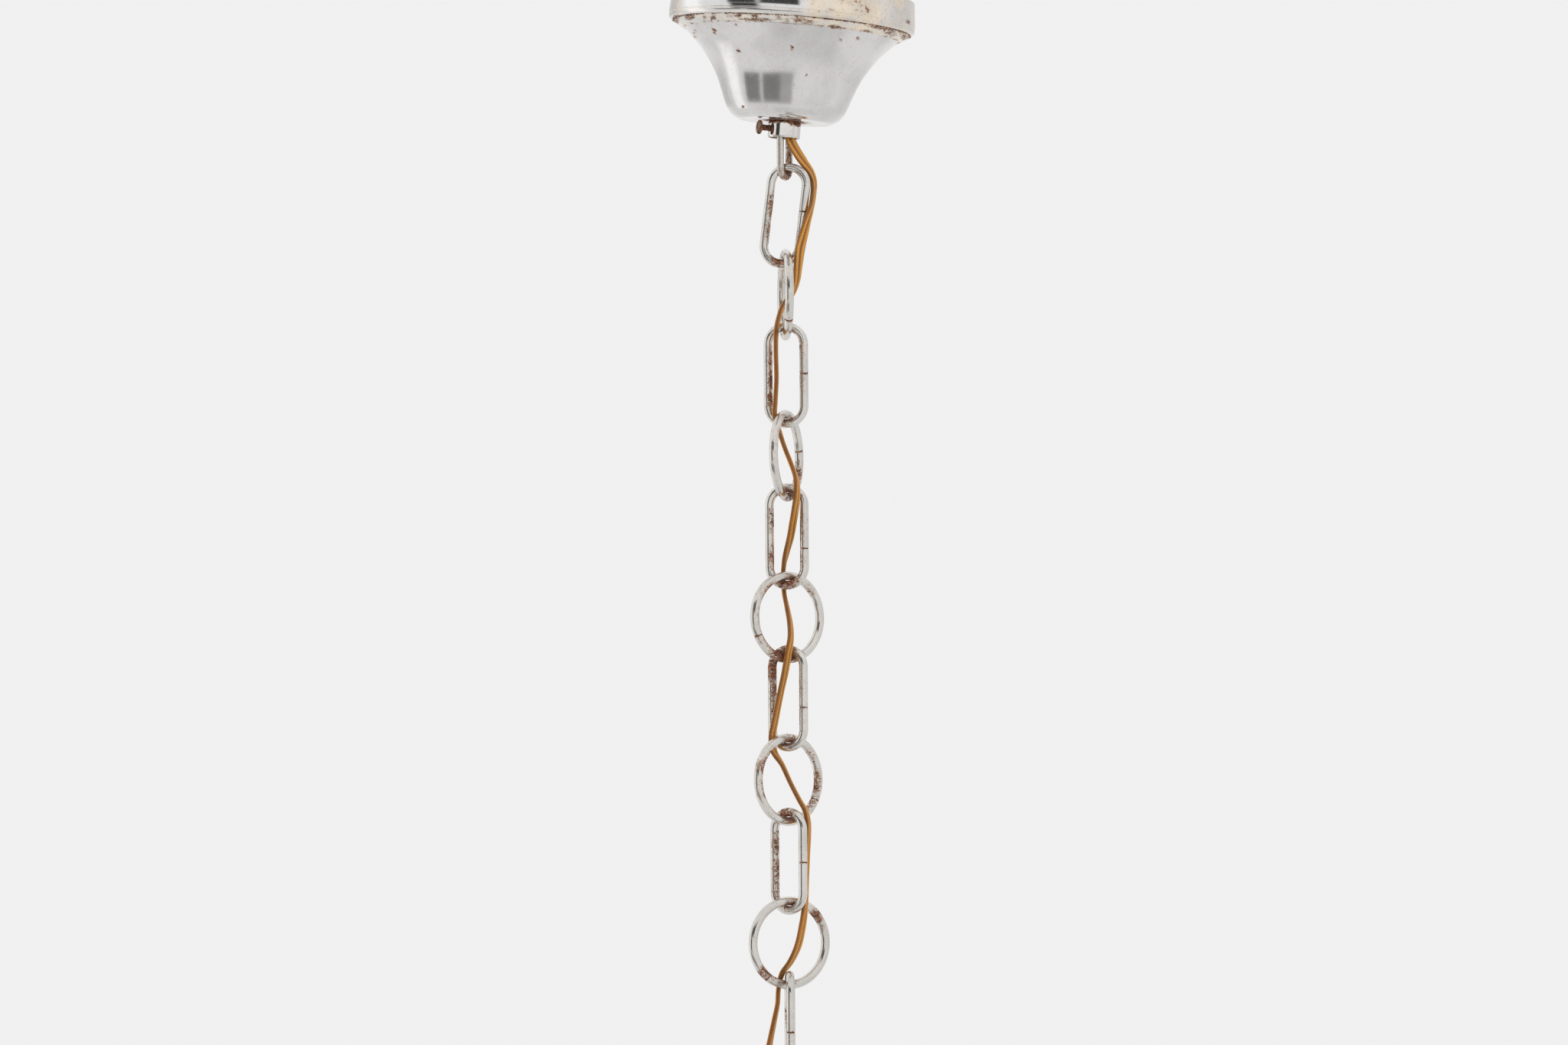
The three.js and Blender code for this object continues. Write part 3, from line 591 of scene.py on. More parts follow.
def flexPiece(name, points, start, end, node):
    places = [p[:3] for p in points]
    outline = flexOutline()
    last = len(points) - 1
    count = max(12, round((end - start) * flex["pointGap"] / flex["rowGap"]))
    nudge = flex["nudge"]
    vertices, across, along, line = [], [], [], []
    length = 0.0
    for i in range(count + 1):
        at = start + (end - start) * i / count
        spot = splineAt(places, at)
        ahead = splineAt(places, min(at + nudge, last)) - splineAt(places, max(at - nudge, 0))
        ahead.normalize()
        stop = min(int(at), last - 1)
        turn = points[stop][3] + (points[stop + 1][3] - points[stop][3]) * (at - stop)
        wide = upright(turn)
        wide = (wide - ahead * wide.dot(ahead)).normalized()
        thin = ahead.cross(wide)
        if line:
            length += (spot - line[-1]).length
        line.append(spot)
        for x, y in outline:
            vertices.append((spot + wide * x + thin * y) * mm)
            across.append(x / (flex["width"] / 2))
            along.append(length)
    faces = ringFaces(count + 1, len(outline))
    values = {"across": across, "along": along}
    piece = newPiece(name, vertices, faces, amberSkin, None, [node], values)
    return piece


def blendAlong(piece, upper, lower, first, last):
    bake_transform(piece)


linkNames = [body for body in frame["bodies"] if "link" in body]
linkNames.sort(key=lambda body: -pivotLevel(body))
chainBodies = ["mounting", *linkNames, "lamp"]
leadPiece = flexPiece("flexLead", leadRoute, 0, len(leadRoute) - 1, "flex_lead")
blendAlong(leadPiece, "mounting", "canopy", *flex["leadBlend"])
print("flex lead laid")


def bendHeight(bend, halfStraight, lean):
    slope = math.radians(lean)
    return halfStraight * math.cos(slope) + math.sqrt(bend ** 2 - (halfStraight * math.sin(slope)) ** 2)


longLink = {"bend": 8.6, "halfStraight": 14.8}
roundLink = {"bend": 19.9, "halfStraight": 0}
chainWire = 4.2
seamGap = 0.08

# Rust on each link: (x, z, reach, amount) in the plane of the link, from its middle
links = {
    "long_link_1": {"turn": -10, "lean": 7, "seam": (1, 2.5), "flexCut": -4.5, "rust": [
        (-5.8, 4, 9, 0.68), (-6, -8, 8, 0.6), (0, -21, 6, 0.95), (9.8, -9, 5, 0.51), (3, 21, 6, 0.43),
        (8, -17, 4, 0.51),
    ]},
    "round_link_1": {"turn": -84.5, "lean": 0, "seam": (-41,), "rust": [
        (0, 17.6, 7, 0.6), (16, 12, 9, 0.43), (21, 5, 8, 0.38), (2, -17.8, 7, 0.68), (-16, 10, 9, 0.35),
    ]},
    "long_link_2": {"turn": -5, "lean": 0, "seam": (1, 0.5), "rust": [
        (-6, 8, 8, 0.6), (-6, -3, 8, 0.73), (-6, -12, 7, 0.8), (6.2, 13, 6, 0.6), (0, -21, 6, 0.85),
        (1, 21.5, 5, 0.6), (-9, -17, 5, 0.51), (6.4, -2, 6, 0.45),
    ]},
    "round_link_2": {"turn": 72, "lean": 0, "seam": (10,), "rust": [
        (-15, 9, 5, 0.9), (-14, 14, 8, 0.7), (-20, 2, 8, 0.6), (17, -9, 9, 0.64), (0, -17.6, 8, 0.95),
        (0, 17.6, 6, 0.6), (8, -19, 6, 0.51),
    ]},
    "long_link_3": {"turn": -15, "lean": 0, "seam": (1, -6), "rust": [
        (-6.2, 8, 9, 0.64), (-6.2, -9, 9, 0.68), (6.2, 4, 9, 0.64), (6.2, -12, 7, 0.6),
        (0, -20.6, 8, 1), (0, 21, 6, 0.88),
    ]},
    "round_link_3": {"turn": 38.6, "lean": 0, "seam": (206,), "rust": [
        (-14, 13, 8, 0.8), (-18, 0, 6, 0.66), (-15, -13, 9, 0.68), (-6, -19, 9, 0.95), (3, -18, 7, 0.9),
        (14, 14, 5, 0.51), (0, 17.6, 6, 0.6),
    ]},
    "long_link_4": {"turn": -30, "lean": 0, "seam": (1, -4.5), "rust": [
        (-8, 14, 9, 0.9), (-8, 4, 9, 0.73), (-8, -7, 9, 0.73), (6.4, 5, 7, 0.6), (6.2, -8, 6, 0.6),
        (0, 21, 8, 1), (0, -21, 6, 0.68), (9, -4, 3, 0.6),
    ]},
    "round_link_4": {"turn": 44, "lean": 0, "seam": (-30,), "rust": [
        (-17, 6, 6, 0.9), (-18, -4, 7, 0.8), (-14, 12, 6, 0.8), (18, -2, 8, 0.73), (16, -12, 8, 0.7),
        (0, 17.6, 6, 0.9), (0, -17.6, 6, 0.68), (-12, -16, 6, 0.35), (14, 13, 6, 0.45),
    ]},
    "long_link_5": {"turn": -39, "lean": 0, "seam": (1, -0.5), "rust": [
        (-6, 8, 8, 0.73), (-6, -4, 8, 0.68), (-6.4, -13, 7, 0.6), (0, 21, 7, 0.95), (9, 6, 5, 0.38),
        (0, -21, 6, 0.68),
    ]},
    "round_link_5": {"turn": 30, "lean": 0, "seam": (232,), "rust": [
        (14.5, 13, 5, 0.92), (18, 9, 5, 0.51), (-14, -13.5, 5, 0.92), (-10, -18, 6, 0.6),
        (0, 17.6, 6, 0.68), (0, -17.6, 6, 0.6),
    ]},
    "long_link_6": {"turn": -87, "lean": 0, "seam": (1, -3), "rust": [
        (6.4, 8, 8, 0.6), (6.4, -6, 8, 0.51), (0, 21, 6, 0.9), (-6.4, 4, 8, 0.6), (0, -21, 6, 0.68),
    ]},
}

for name, link in links.items():
    link.update(roundLink if "round" in name else longLink)
    following = chainBodies[chainBodies.index(name) + 1]
    link["centre"] = pivotLevel(following) + bendHeight(link["bend"], link["halfStraight"], link["lean"])

levels = [route[0][2], canopyFloor - flex["exitDrop"]]
levels += [links[name]["centre"] + links[name].get("flexCut", 0) for name in linkNames]
levels += [route[-1][2]]
exitPiece = flexPiece("flexExit", route, 0, stationAt(route, levels[1]), "flex_exit")
blendAlong(
    exitPiece, "canopy", "mounting", canopyFloor - flex["exitBlend"][0], levels[1] + flex["exitBlend"][1],
)
for i in range(1, len(levels) - 1):
    start, end = stationAt(route, levels[i]), stationAt(route, levels[i + 1])
    piece = flexPiece(f"flex{i}", route, start, end, f"flex_{i}")
    margin = flex["blendMargin"]
    blendAlong(piece, chainBodies[i - 1], chainBodies[i], levels[i] - margin, levels[i + 1] + margin)
print("laced flex laid")


# Bent wire: links, stirrup, hook

def wirePiece(
    name, path, diameter, material, body, stands, placed, rust,
    sides=22, chamfer=0.3, closed=False, halfStraight=0,
):
    # A round wire along a path of (x, z) points in its own upright plane
    rows = []
    count = len(path)
    for i, (x, z) in enumerate(path):
        before = path[i - 1] if i or closed else path[0]
        after = path[(i + 1) % count] if i + 1 < count or closed else path[-1]
        ahead = Vector((after[0] - before[0], 0, after[1] - before[1])).normalized()
        rows.append([Vector((x, 0, z)), ahead, diameter / 2])
    if not closed:
        for end, sign in ((0, 1), (-1, -1)):
            spot, ahead, radius = rows[end]
            rows[end] = [spot + ahead * sign * chamfer, ahead, radius]
            tip = [spot, ahead, radius - chamfer]
            rows = [tip] + rows if end == 0 else rows + [tip]
    vertices, worn = [], []
    for i, (spot, ahead, radius) in enumerate(rows):
        outward = ahead.cross(Vector((0, 1, 0)))
        middle = Vector((0, 0, max(-halfStraight, min(halfStraight, spot.z))))
        tip = 0 if closed else max(0, 1 - 0.5 * min(i, len(rows) - 1 - i))
        for side in range(sides):
            angle = 2 * math.pi * side / sides
            point = spot + outward * (radius * math.cos(angle)) + Vector((0, radius * math.sin(angle), 0))
            vertices.append(placed @ (point * mm))
            facing = (point - spot).dot((middle - spot).normalized()) / radius
            worn.append(tip if tip and rust else wearAt(point, facing, rust))
    faces = ringFaces(len(rows), sides, closedRows=closed)
    if not closed:
        faces += endCaps(len(vertices), sides)
    piece = newPiece(name, vertices, faces, material, body, stands, {"wear": worn})
    sharpen(piece, 30)
    return piece


def endCaps(count, sides):
    return [tuple(range(sides)), tuple(range(count - 1, count - 1 - sides, -1))]


def wearAt(point, facing, rust):
    # Most of the rust is on the side that faces the loop's middle: facing is 1 there and -1 outside.
    # The heaviest patches, 0.9 and more, go all the way round
    inner = min(1, max(0, (facing + 0.3) / 0.9))
    worn = 0.0
    for x, z, reach, amount in rust:
        apart = math.hypot(point.x - x, point.z - z) / reach
        least = 0.8 if amount >= 0.9 else 0.35
        if apart < 1:
            worn = max(worn, amount * (1 - apart ** 2) ** 0.7 * (least + (1 - least) * inner))
    return worn


def straight(start, end, spacing=0.9):
    count = max(1, round(math.dist(start, end) / spacing))
    return [
        (start[0] + (end[0] - start[0]) * i / count, start[1] + (end[1] - start[1]) * i / count)
        for i in range(1, count)
    ]


def loopPath(bend, halfStraight, seamSide, seamHeight, steps=34):
    # One side of the seam round to the other; the seam is on a leg
    top = arc(bend, 0, 180, steps, 0, halfStraight)
    bottom = arc(bend, 180, 360, steps, 0, -halfStraight)
    first, final = (bend, seamHeight + seamGap / 2), (bend, seamHeight - seamGap / 2)
    path = [first, *straight(first, top[0]), *top, *straight(top[-1], bottom[0]), *bottom]
    path += [*straight(bottom[-1], final), final]
    return [(seamSide * x, z) for x, z in path]


def ringPath(radius, seamAngle, steps=110):
    opening = math.degrees(seamGap / 2 / radius)
    return arc(radius, seamAngle + opening, seamAngle + 360 - opening, steps)


def standing(level, turn, lean=0):
    return (
        Matrix.Translation((0, 0, level * mm))
        @ Matrix.Rotation(math.radians(turn), 4, "Z")
        @ Matrix.Rotation(math.radians(lean), 4, "Y")
    )


for name, link in links.items():
    if "round" in name:
        path = ringPath(link["bend"], *link["seam"])
    else:
        path = loopPath(link["bend"], link["halfStraight"], *link["seam"])
    title = "".join(word.capitalize() for word in name.split("_"))
    placed = standing(link["centre"], link["turn"], link["lean"])
    wirePiece(
        "wire" + title, path, chainWire, chainPlating, name, [name], placed, link["rust"],
        halfStraight=link["halfStraight"],
    )
print("chain bent")

hook = {
    "wire": 4.5,
    "turn": -26.5,
    "centre": -30,
    "radius": 7,
    "shankTop": -4.5,
    "shoulder": [(0, 11.5), (-0.7, 10.4), (-2.2, 8.96), (-4.3, 7.5), (-5.6, 5.6), (-6.58, 2.39)],
}
stirrup = {
    "wire": 3.4,
    "bend": 4.7,
    "turn": 63.5,
    "top": -32.75,
    "rust": [
        (4.7, -24, 14, 0.7), (4.7, 0, 16, 0.55), (0, -28, 7, 0.9), (0, 30, 8, 0.8), (-3, -29, 4, 0.7),
        (3.2, -10, 8, 0.6),
    ],
}
stirrupHalf = (stirrup["top"] - stirrupBottom) / 2 - stirrup["bend"]
stirrupMiddle = (stirrup["top"] + stirrupBottom) / 2
wirePiece(
    "stirrupWire", loopPath(stirrup["bend"], stirrupHalf, 1, stirrupHalf * 0.7, 22), stirrup["wire"],
    stirrupPlating, "mounting", ["stirrup"], standing(stirrupMiddle, stirrup["turn"]),
    stirrup["rust"], halfStraight=stirrupHalf,
)
shoulder = raised(hook["centre"], hook["shoulder"])
shankTop = (0, hook["shankTop"])
hookPath = [shankTop, *straight(shankTop, shoulder[0]), *smoothRows(shoulder, 5)]
hookPath += arc(hook["radius"], 160, 385, 46, 0, hook["centre"])[1:]
wirePiece(
    "hookWire", hookPath, hook["wire"], zincPlate, "mounting", ["ceiling_hook"],
    standing(0, hook["turn"]), [], chamfer=0.8,
)
print("stirrup and hook bent")


# Canopy, collar and screw

canopy = {
    "radius": 59.4,
    "height": 60.5,
    "wall": 0.9,
    "bandBottom": 47.9,
    "edge": [(59.25, 46.6), (58.7, 45.6)],
    "groove": (57.3, 44.6),
    "under": [(55.4, 43.45), (53.3, 42.4)],
    "neck": 51.3,
    "neckHeight": 41.5,
    "cup": [
        (49.0, 39.3), (42.8, 32.9), (38.1, 26.4), (34.4, 19.9), (31.6, 12.9), (29.6, 7.6), (27.5, 3.6),
        (24.8, 1.1),
    ],
    "floorRadius": 22.4,
    "leanRight": 4.45,
    "leanFront": 4,
    "hole": 7.45,
    "boreMiddle": -2.3,
    "dent": 0.06,
    "sides": 300,
    "grooveReach": 0.75,
    "borderReach": 0.8,
    "floorRust": 0.9,
    "floorRustFade": 0.11,
    "creamRight": 5,
    "creamLeft": -52,
    "creamBehind": 0.6,
    "creamUnder": 0.55,
    "creamEdge": 0.25,
}
lean = Vector((math.tan(math.radians(canopy["leanRight"])), -math.tan(math.radians(canopy["leanFront"])), 1))
lean.normalize()
leaning = Matrix.Translation(
    Vector((-lean.x * canopy["boreMiddle"], -lean.y * canopy["boreMiddle"], canopyFloor)) * mm
) @ Vector((0, 0, 1)).rotation_difference(lean).to_matrix().to_4x4()


def cupOutline():
    # From the neck down to the flat floor
    turns = [(canopy["neck"], canopy["neckHeight"]), *canopy["cup"], (canopy["floorRadius"], 0)]
    return [(r, max(z, 0)) for r, z in smoothRows(turns, 5)]


def rollOutline():
    # The rounded edge under the band, the groove, and the underside up to the neck
    radius, height = canopy["groove"]
    edge = [(rim, bandBottom - 0.6), *canopy["edge"], (radius + 0.7, height + 0.35)]
    under = [(radius - 0.35, height - 0.25), *canopy["under"]]
    under += [(canopy["neck"] + 0.5, canopy["neckHeight"] + 0.1)]
    bottom = [(radius + 0.1, height + 0.4), (radius - 0.3, height + 0.15)]
    return smoothRows(edge, 4) + bottom + smoothRows(under, 4)


def offsetInward(outline, wall):
    moved = []
    for i, (r, z) in enumerate(outline):
        before, after = outline[max(i - 1, 0)], outline[min(i + 1, len(outline) - 1)]
        along = Vector((after[0] - before[0], after[1] - before[1])).normalized()
        moved.append((r + wall * along.y, z - wall * along.x))
    return moved


rim, top, wall, hole = canopy["radius"], canopy["height"], canopy["wall"], canopy["hole"]
bandBottom = canopy["bandBottom"]
bandInside = rim - wall
bandRows = [(bandInside - 0.8, top), *inset(rim, [
    (1.1, top), (0.95, top - 0.15), (0.66, 57), (0.4, 54), (0.14, 51), (0.04, 49.9),
    (0, bandBottom + 1.1), (0, bandBottom + 0.5), (0.05, bandBottom + 0.15), (0.2, bandBottom - 0.05),
    (0.2, bandBottom - 0.3),
])]
rollRows = rollOutline()
cup = cupOutline()
floorRows = [(r, 0) for r in (20, 16, 12, 9, hole + 0.1)] + [(hole, 0.1)]
insideRows = [(hole, wall), (12, wall)]
insideRows += [(r, max(z, wall)) for r, z in reversed(offsetInward(cup, wall)[2:])]
insideRows += [(bandInside - 4, bandBottom - 2.6), (bandInside, bandBottom - 0.4)]
insideRows += [(bandInside - 0.95, top - 0.15)]
canopyRows = bandRows + rollRows + cup + floorRows + insideRows

# Rust on the canopy, seen from the front: (aside, height above the floor, half width, half height, amount)
canopyRust = [
    (-55.5, 44.2, 2.4, 1.6, 0.46), (-48.2, 43.9, 3.0, 1.3, 0.62), (-41, 42.9, 1.6, 1.4, 0.42),
    (-37, 43.0, 1.9, 1.2, 0.6), (-29, 43.6, 2.2, 1.0, 0.4), (-25, 43.9, 2.2, 1.1, 0.6),
    (-17.3, 44.0, 2.4, 1.0, 0.6), (-16, 42.5, 9.5, 0.9, 0.56), (-5.7, 43.5, 1.8, 1.0, 0.55),
    (3.2, 43.2, 2.6, 1.1, 0.58), (9, 43.0, 2.4, 0.8, 0.42), (20.6, 41.9, 3.6, 0.9, 0.62),
    (36, 42.0, 3.4, 0.7, 0.45), (43.5, 44.2, 9.5, 0.9, 0.5), (47, 43.3, 4.0, 1.2, 0.46),
    (54.5, 43.6, 3.0, 1.4, 0.42), (35.5, 50.6, 1.5, 1.2, 0.62), (31, 50.2, 3.4, 0.6, 0.36),
    (55.4, 49.8, 1.4, 1.3, 0.6), (12.3, 53.2, 0.9, 0.8, 0.62), (38, 55.4, 0.9, 0.9, 0.62),
    (18.5, 49.0, 1.6, 0.8, 0.45), (27, 54, 6, 3, 0.27), (-46.6, 54.0, 1.8, 1.6, 0.55),
    (-40, 52.8, 1.4, 1.2, 0.5), (-36.2, 37.7, 1.3, 1.3, 0.8), (-24.1, 29.3, 1.1, 1.1, 0.8),
    (1.3, 31.2, 1.0, 1.0, 0.8), (-20.3, 4.0, 1.0, 1.0, 0.7), (9, 20, 0.8, 0.8, 0.7),
    (24, 37, 0.8, 0.8, 0.7), (-26, 40.2, 0.9, 0.9, 0.7), (32, 38.6, 1.1, 1.1, 0.6),
    (-46, 38, 1.6, 1.6, 0.5),
]
backRust = [
    (-40, 43.6, 5, 1.4, 0.56), (-8, 43, 6, 1.2, 0.55), (28, 42.6, 5, 1.2, 0.58), (12, 24, 1.2, 1.2, 0.8),
    (-22, 33, 1.1, 1.1, 0.8), (10, 51, 1.6, 1.2, 0.6),
]


def canopyWear(spot):
    worn = 0.0
    for aside, height, wide, high, amount in (canopyRust if spot.y < 0 else backRust):
        apart = math.hypot((spot.x - aside) / wide, (spot.z - height) / high)
        if apart < 1:
            worn = max(worn, 1.2 * amount * (1 - apart ** 2) ** 0.4)
    radius = math.hypot(spot.x, spot.y)
    along = math.atan2(spot.y, spot.x)
    grooveRadius, grooveHeight = canopy["groove"]
    groove = math.hypot(radius - grooveRadius, spot.z - grooveHeight - 0.2) / canopy["grooveReach"]
    border = abs(spot.z - canopy["neckHeight"] - 0.15) / canopy["borderReach"]
    if groove < 1:
        worn = max(worn, (0.86 + 0.14 * math.sin(9 * along)) * (1 - groove) ** 0.5)
    if radius > canopy["neck"] - 1 and border < 1:
        spotty = 0.36 + 0.16 * math.sin(23 * along + 1) + 0.14 * math.sin(57 * along)
        worn = max(worn, spotty * (1 - border))
    if spot.z < 0.5:
        # The floor has rusted round the collar
        worn = max(worn, canopy["floorRust"] - canopy["floorRustFade"] * (radius - hole))
    return worn


def canopyAged(spot):
    # The band's right side, its far left edge and partly the underside have gone cream
    if math.hypot(spot.x, spot.y) < canopy["neck"]:
        return 0.0
    right = min(1, max(0, (spot.x - canopy["creamRight"]) / 5))
    left = min(1, max(0, (canopy["creamLeft"] - spot.x) / 3))
    behind = canopy["creamBehind"] if spot.y > 0 else 0
    under = 0
    if spot.z < bandBottom:
        under = canopy["creamUnder"] if spot.z < canopy["groove"][1] else canopy["creamEdge"]
    return max(right, left, behind, under)


def canopyPiece():
    sides = canopy["sides"]
    vertices, worn, cream = [], [], []
    for radius, height in canopyRows:
        for side in range(sides):
            angle = 2 * math.pi * side / sides
            spot = Vector((radius * math.cos(angle), radius * math.sin(angle), height))
            worn.append(canopyWear(spot))
            cream.append(canopyAged(spot))
            dent = canopy["dent"] * math.sin(3 * angle + height / 9) if height < bandBottom else 0
            dented = radius - abs(dent)
            spot = Vector((dented * math.cos(angle), dented * math.sin(angle), height))
            vertices.append(leaning @ (spot * mm))
    faces = ringFaces(len(canopyRows), sides, closedRows=True)
    piece = newPiece(
        "canopyShell", vertices, faces, cupPlating, "canopy", ["canopy"],
        {"wear": worn, "aged": cream},
    )
    piece.data.materials.append(bandPlating)
    outer = len(bandRows) + len(rollRows) - 1
    for face in piece.data.polygons:
        face.material_index = 1 if face.index < outer * sides else 0
    sharpen(piece, 28)


canopyPiece()

collar = {
    "bore": 13.3,
    "outer": 15.6,
    "height": 7.2,
    "lip": 0.7,
    "gap": 0.3,
    "spigot": 7.25,
    "spigotTop": 2.9,
}
collarBore = collar["bore"] / 2
collarOuter = collar["outer"] / 2
collarBottom = -collar["gap"] - collar["height"] - collar["lip"]
spigot, spigotTop = collar["spigot"], collar["spigotTop"]
collarRows = [
    (collarBore + 0.25, collarBottom),
    *inset(collarOuter, raised(collarBottom, [(0.7, 0), (0.25, 0.15), (0, 0.6)])),
    *[(collarOuter, level / 4) for level in range(-28, -2)],
    (collarOuter - 0.2, -collar["gap"]), (spigot, -collar["gap"]), (spigot, spigotTop - 0.3),
    (spigot - 0.2, spigotTop), (collarBore, spigotTop), (collarBore, 0), (collarBore, -3),
    (collarBore, collarBottom + 0.25),
]


def collarWear(radius, height, angle):
    reach = 2.9 + 0.9 * math.sin(math.radians(angle * 2 + 130)) + 0.4 * math.sin(math.radians(angle * 5))
    edge = min(1.0, max(0.0, 1.6 * (1 + height / reach)))
    under = 0.5 * max(0.0, 1 - abs(height - collarBottom) / 0.9)
    return max(0.95 * edge, under)


def cutAway(piece, tool):
    # Cuts the tool's shape from the piece
    change = piece.modifiers.new("cut", "BOOLEAN")
    change.object = tool
    change.operation = "DIFFERENCE"
    change.solver = "EXACT"
    bpy.context.view_layer.update()
    shaped = bpy.data.meshes.new_from_object(piece.evaluated_get(bpy.context.evaluated_depsgraph_get()))
    piece.modifiers.clear()
    piece.data = shaped
    bpy.data.objects.remove(tool)
    sharpen(piece, 32)


def toolRod(radius, start, end, placed, sides=32):
    solid = bmesh.new()
    middle = Matrix.Translation((0, 0, (start + end) / 2 * mm))
    bmesh.ops.create_cone(
        solid, cap_ends=True, segments=sides, radius1=radius * mm, radius2=radius * mm,
        depth=(end - start) * mm, matrix=placed @ middle,
    )
    mesh = bpy.data.meshes.new("tool")
    solid.to_mesh(mesh)
    solid.free()
    return addObject("tool", mesh)


def toolBox(low, high, placed):
    sidesX, sidesY, sidesZ = zip(low, high)
    corners = [(x, y, z) for x in sidesX for y in sidesY for z in sidesZ]
    quads = [(0, 1, 3, 2), (4, 6, 7, 5), (0, 4, 5, 1), (2, 3, 7, 6), (0, 2, 6, 4), (1, 5, 7, 3)]
    mesh = bpy.data.meshes.new("tool")
    mesh.from_pydata([tuple(placed @ (Vector(c) * mm)) for c in corners], [], quads)
    return addObject("tool", mesh)


screw = {
    "turn": 200,
    "tip": 4.75,
    "end": 13.6,
    "head": 6.8,
    "headHeight": 1.5,
    "shank": 3,
    "pitch": 0.5,
    "slotTurn": 25,
    "slotHalf": 0.4,
    "slotDepth": 0.8,
    "wear": 0.75,
}
towardScrew = (
    leaning
    @ Matrix.Translation((0, 0, (-collar["gap"] - collar["height"] / 2) * mm))
    @ Matrix.Rotation(math.radians(screw["turn"]), 4, "Z")
    @ Matrix.Rotation(math.radians(90), 4, "Y")
)
collarPiece = turnedPiece(
    "collarTube", collarRows, collarPlating, "canopy", ["canopy_collar"], 96, leaning,
    collarWear,
)
cutAway(collarPiece, toolRod(screw["shank"] / 2 + 0.25, 2, 14, towardScrew))


def screwRows():
    # Tip, threaded shank and head, from the collar's middle outward
    tip, headTop, head, shank = screw["tip"], screw["end"], screw["head"] / 2, screw["shank"] / 2
    headBottom = headTop - screw["headHeight"]
    rows = [(0, tip), (shank - 0.5, tip), (shank - 0.2, tip + 0.3)]
    level = tip + screw["pitch"]
    while level < headBottom - screw["pitch"]:
        rows += [(shank, level), (shank - 0.24, level + screw["pitch"] / 2)]
        level += screw["pitch"]
    rows += raised(headBottom, [(shank, -0.1), (shank, 0), (head - 0.3, 0), (head, 0.3)])
    return rows + raised(headTop, [(head, -0.6), (head - 0.25, -0.2), (head - 0.7, 0), (0, 0)])


screwPiece = turnedPiece(
    "collarScrew", screwRows(), rustedScrew, "collar_screw", ["collar_screw"], 48,
    towardScrew, lambda radius, height, angle: screw["wear"],
)
slotCut = towardScrew @ Matrix.Rotation(math.radians(screw["slotTurn"]), 4, "Z")
slotLow = (-5, -screw["slotHalf"], screw["end"] - screw["slotDepth"])
cutAway(screwPiece, toolBox(slotLow, (5, screw["slotHalf"], screw["end"] + 1), slotCut))
print("canopy, collar and screw turned")


# Lamp end: eye, cover, lampholder, shade ring

lampEye = {
    "ring": 10.5,
    "wire": 5,
    "play": 0.3,
    "boss": 6.9,
    "drop": 21,
    "tapped": 5.2,
    "tappedDepth": 9,
    "rust": [(0, 8, 5, 0.7), (9.5, 4, 5, 0.4), (-8, -8, 5, 0.5)],
}
eyeCentre = pivotLevel("lamp") + chainWire / 2 + lampEye["wire"] / 2 + lampEye["play"] - lampEye["ring"]
eyeBottom = eyeCentre - lampEye["drop"]
wirePiece(
    "eyeRing", arc(lampEye["ring"], 0, 360, 72)[:-1], lampEye["wire"], chainPlating, "lamp",
    ["lamp_eye"], standing(eyeCentre, 0), lampEye["rust"], sides=28, closed=True,
)
bossTop = eyeCentre - lampEye["ring"] - 0.4
boss, tapped, depth = lampEye["boss"], lampEye["tapped"], lampEye["tappedDepth"]
bossRows = raised(bossTop, [
    (0, 0.8), (2.4, 0.8), (3.4, 0.5), (4.2, -0.5), (5.2, -1.6), (6.2, -2.2), (boss, -3), (boss, -3.8),
    (6.3, -4.2), (6.3, -5.6), (boss, -6),
])
bossRows += raised(eyeBottom, [(boss, 0.5), (boss - 0.4, 0), (tapped, 0), (tapped, depth), (0, depth)])
turnedPiece(
    "eyeBoss", bossRows, chainPlating, "lamp", ["lamp_eye"], 72,
    wear=lambda radius, height, angle: 0.5 if abs(height - bossTop + 5) < 1 else 0.05,
)

cover = {
    "radius": 23,
    "height": 30,
    "wall": 1,
    "corner": 5,
    "hole": 5.2,
    "entryHole": 3.9,
}
coverBottom = coverTop - cover["height"]
coverInside = cover["radius"] - cover["wall"]
cornerRadius = cover["radius"] - cover["corner"]
cornerLevel = coverTop - cover["corner"]
coverRows = [
    *raised(coverTop, [(cover["hole"], 0), (9, 0), (9.4, -0.15), (10, -0.15), (10.4, 0)]),
    *arc(cover["corner"], 90, 0, 14, cornerRadius, cornerLevel),
    *inset(cover["radius"], raised(coverTop, [(0, -12), (0.35, -12.5), (0.35, -13.3), (0, -13.8)])),
    *inset(cover["radius"], raised(coverBottom, [(0, 3), (0.2, 2.4), (0, 1.8), (0, 0.5), (0.3, 0.1)])),
    (coverInside + 0.2, coverBottom), (coverInside, coverBottom + 0.3),
    *arc(cover["corner"] - cover["wall"], 0, 90, 10, cornerRadius, cornerLevel),
    (cover["hole"], coverTop - cover["wall"]),
]
coverPiece = turnedPiece(
    "socketCover", coverRows, coverPlating, "lamp", ["socket_cover"], 160,
    wear=lambda radius, height, angle: 0.45 if height < coverBottom + 0.7 else 0.0,
)
entry = Matrix.Translation((-entryOffset * mm, 0, 0))
cutAway(coverPiece, toolRod(cover["entryHole"], coverTop - 5, coverTop + 3, entry))

bushRows = raised(coverTop, [
    (2.9, -3), (3.6, -3), (3.6, 0.3), (4.8, 0.3), (5, 0.5), (4.9, 1.2), (4.4, 1.8), (3.9, 2), (3.4, 1.9),
    (2.95, 1.5), (2.9, 1),
])
turnedPiece("entryBush", bushRows, phenolic, "lamp", ["entry_bush"], 48, entry)

holder = {
    "capRadius": 19,
    "capWall": 2,
    "capCorner": 4,
    "flutes": 24,
    "fluteDepth": 0.5,
    "bodyRadius": 19.3,
    "ribGap": 1.1,
    "ribDepth": 0.45,
    "knurls": 60,
    "knurlDepth": 0.55,
    "shadeRing": 24,
}


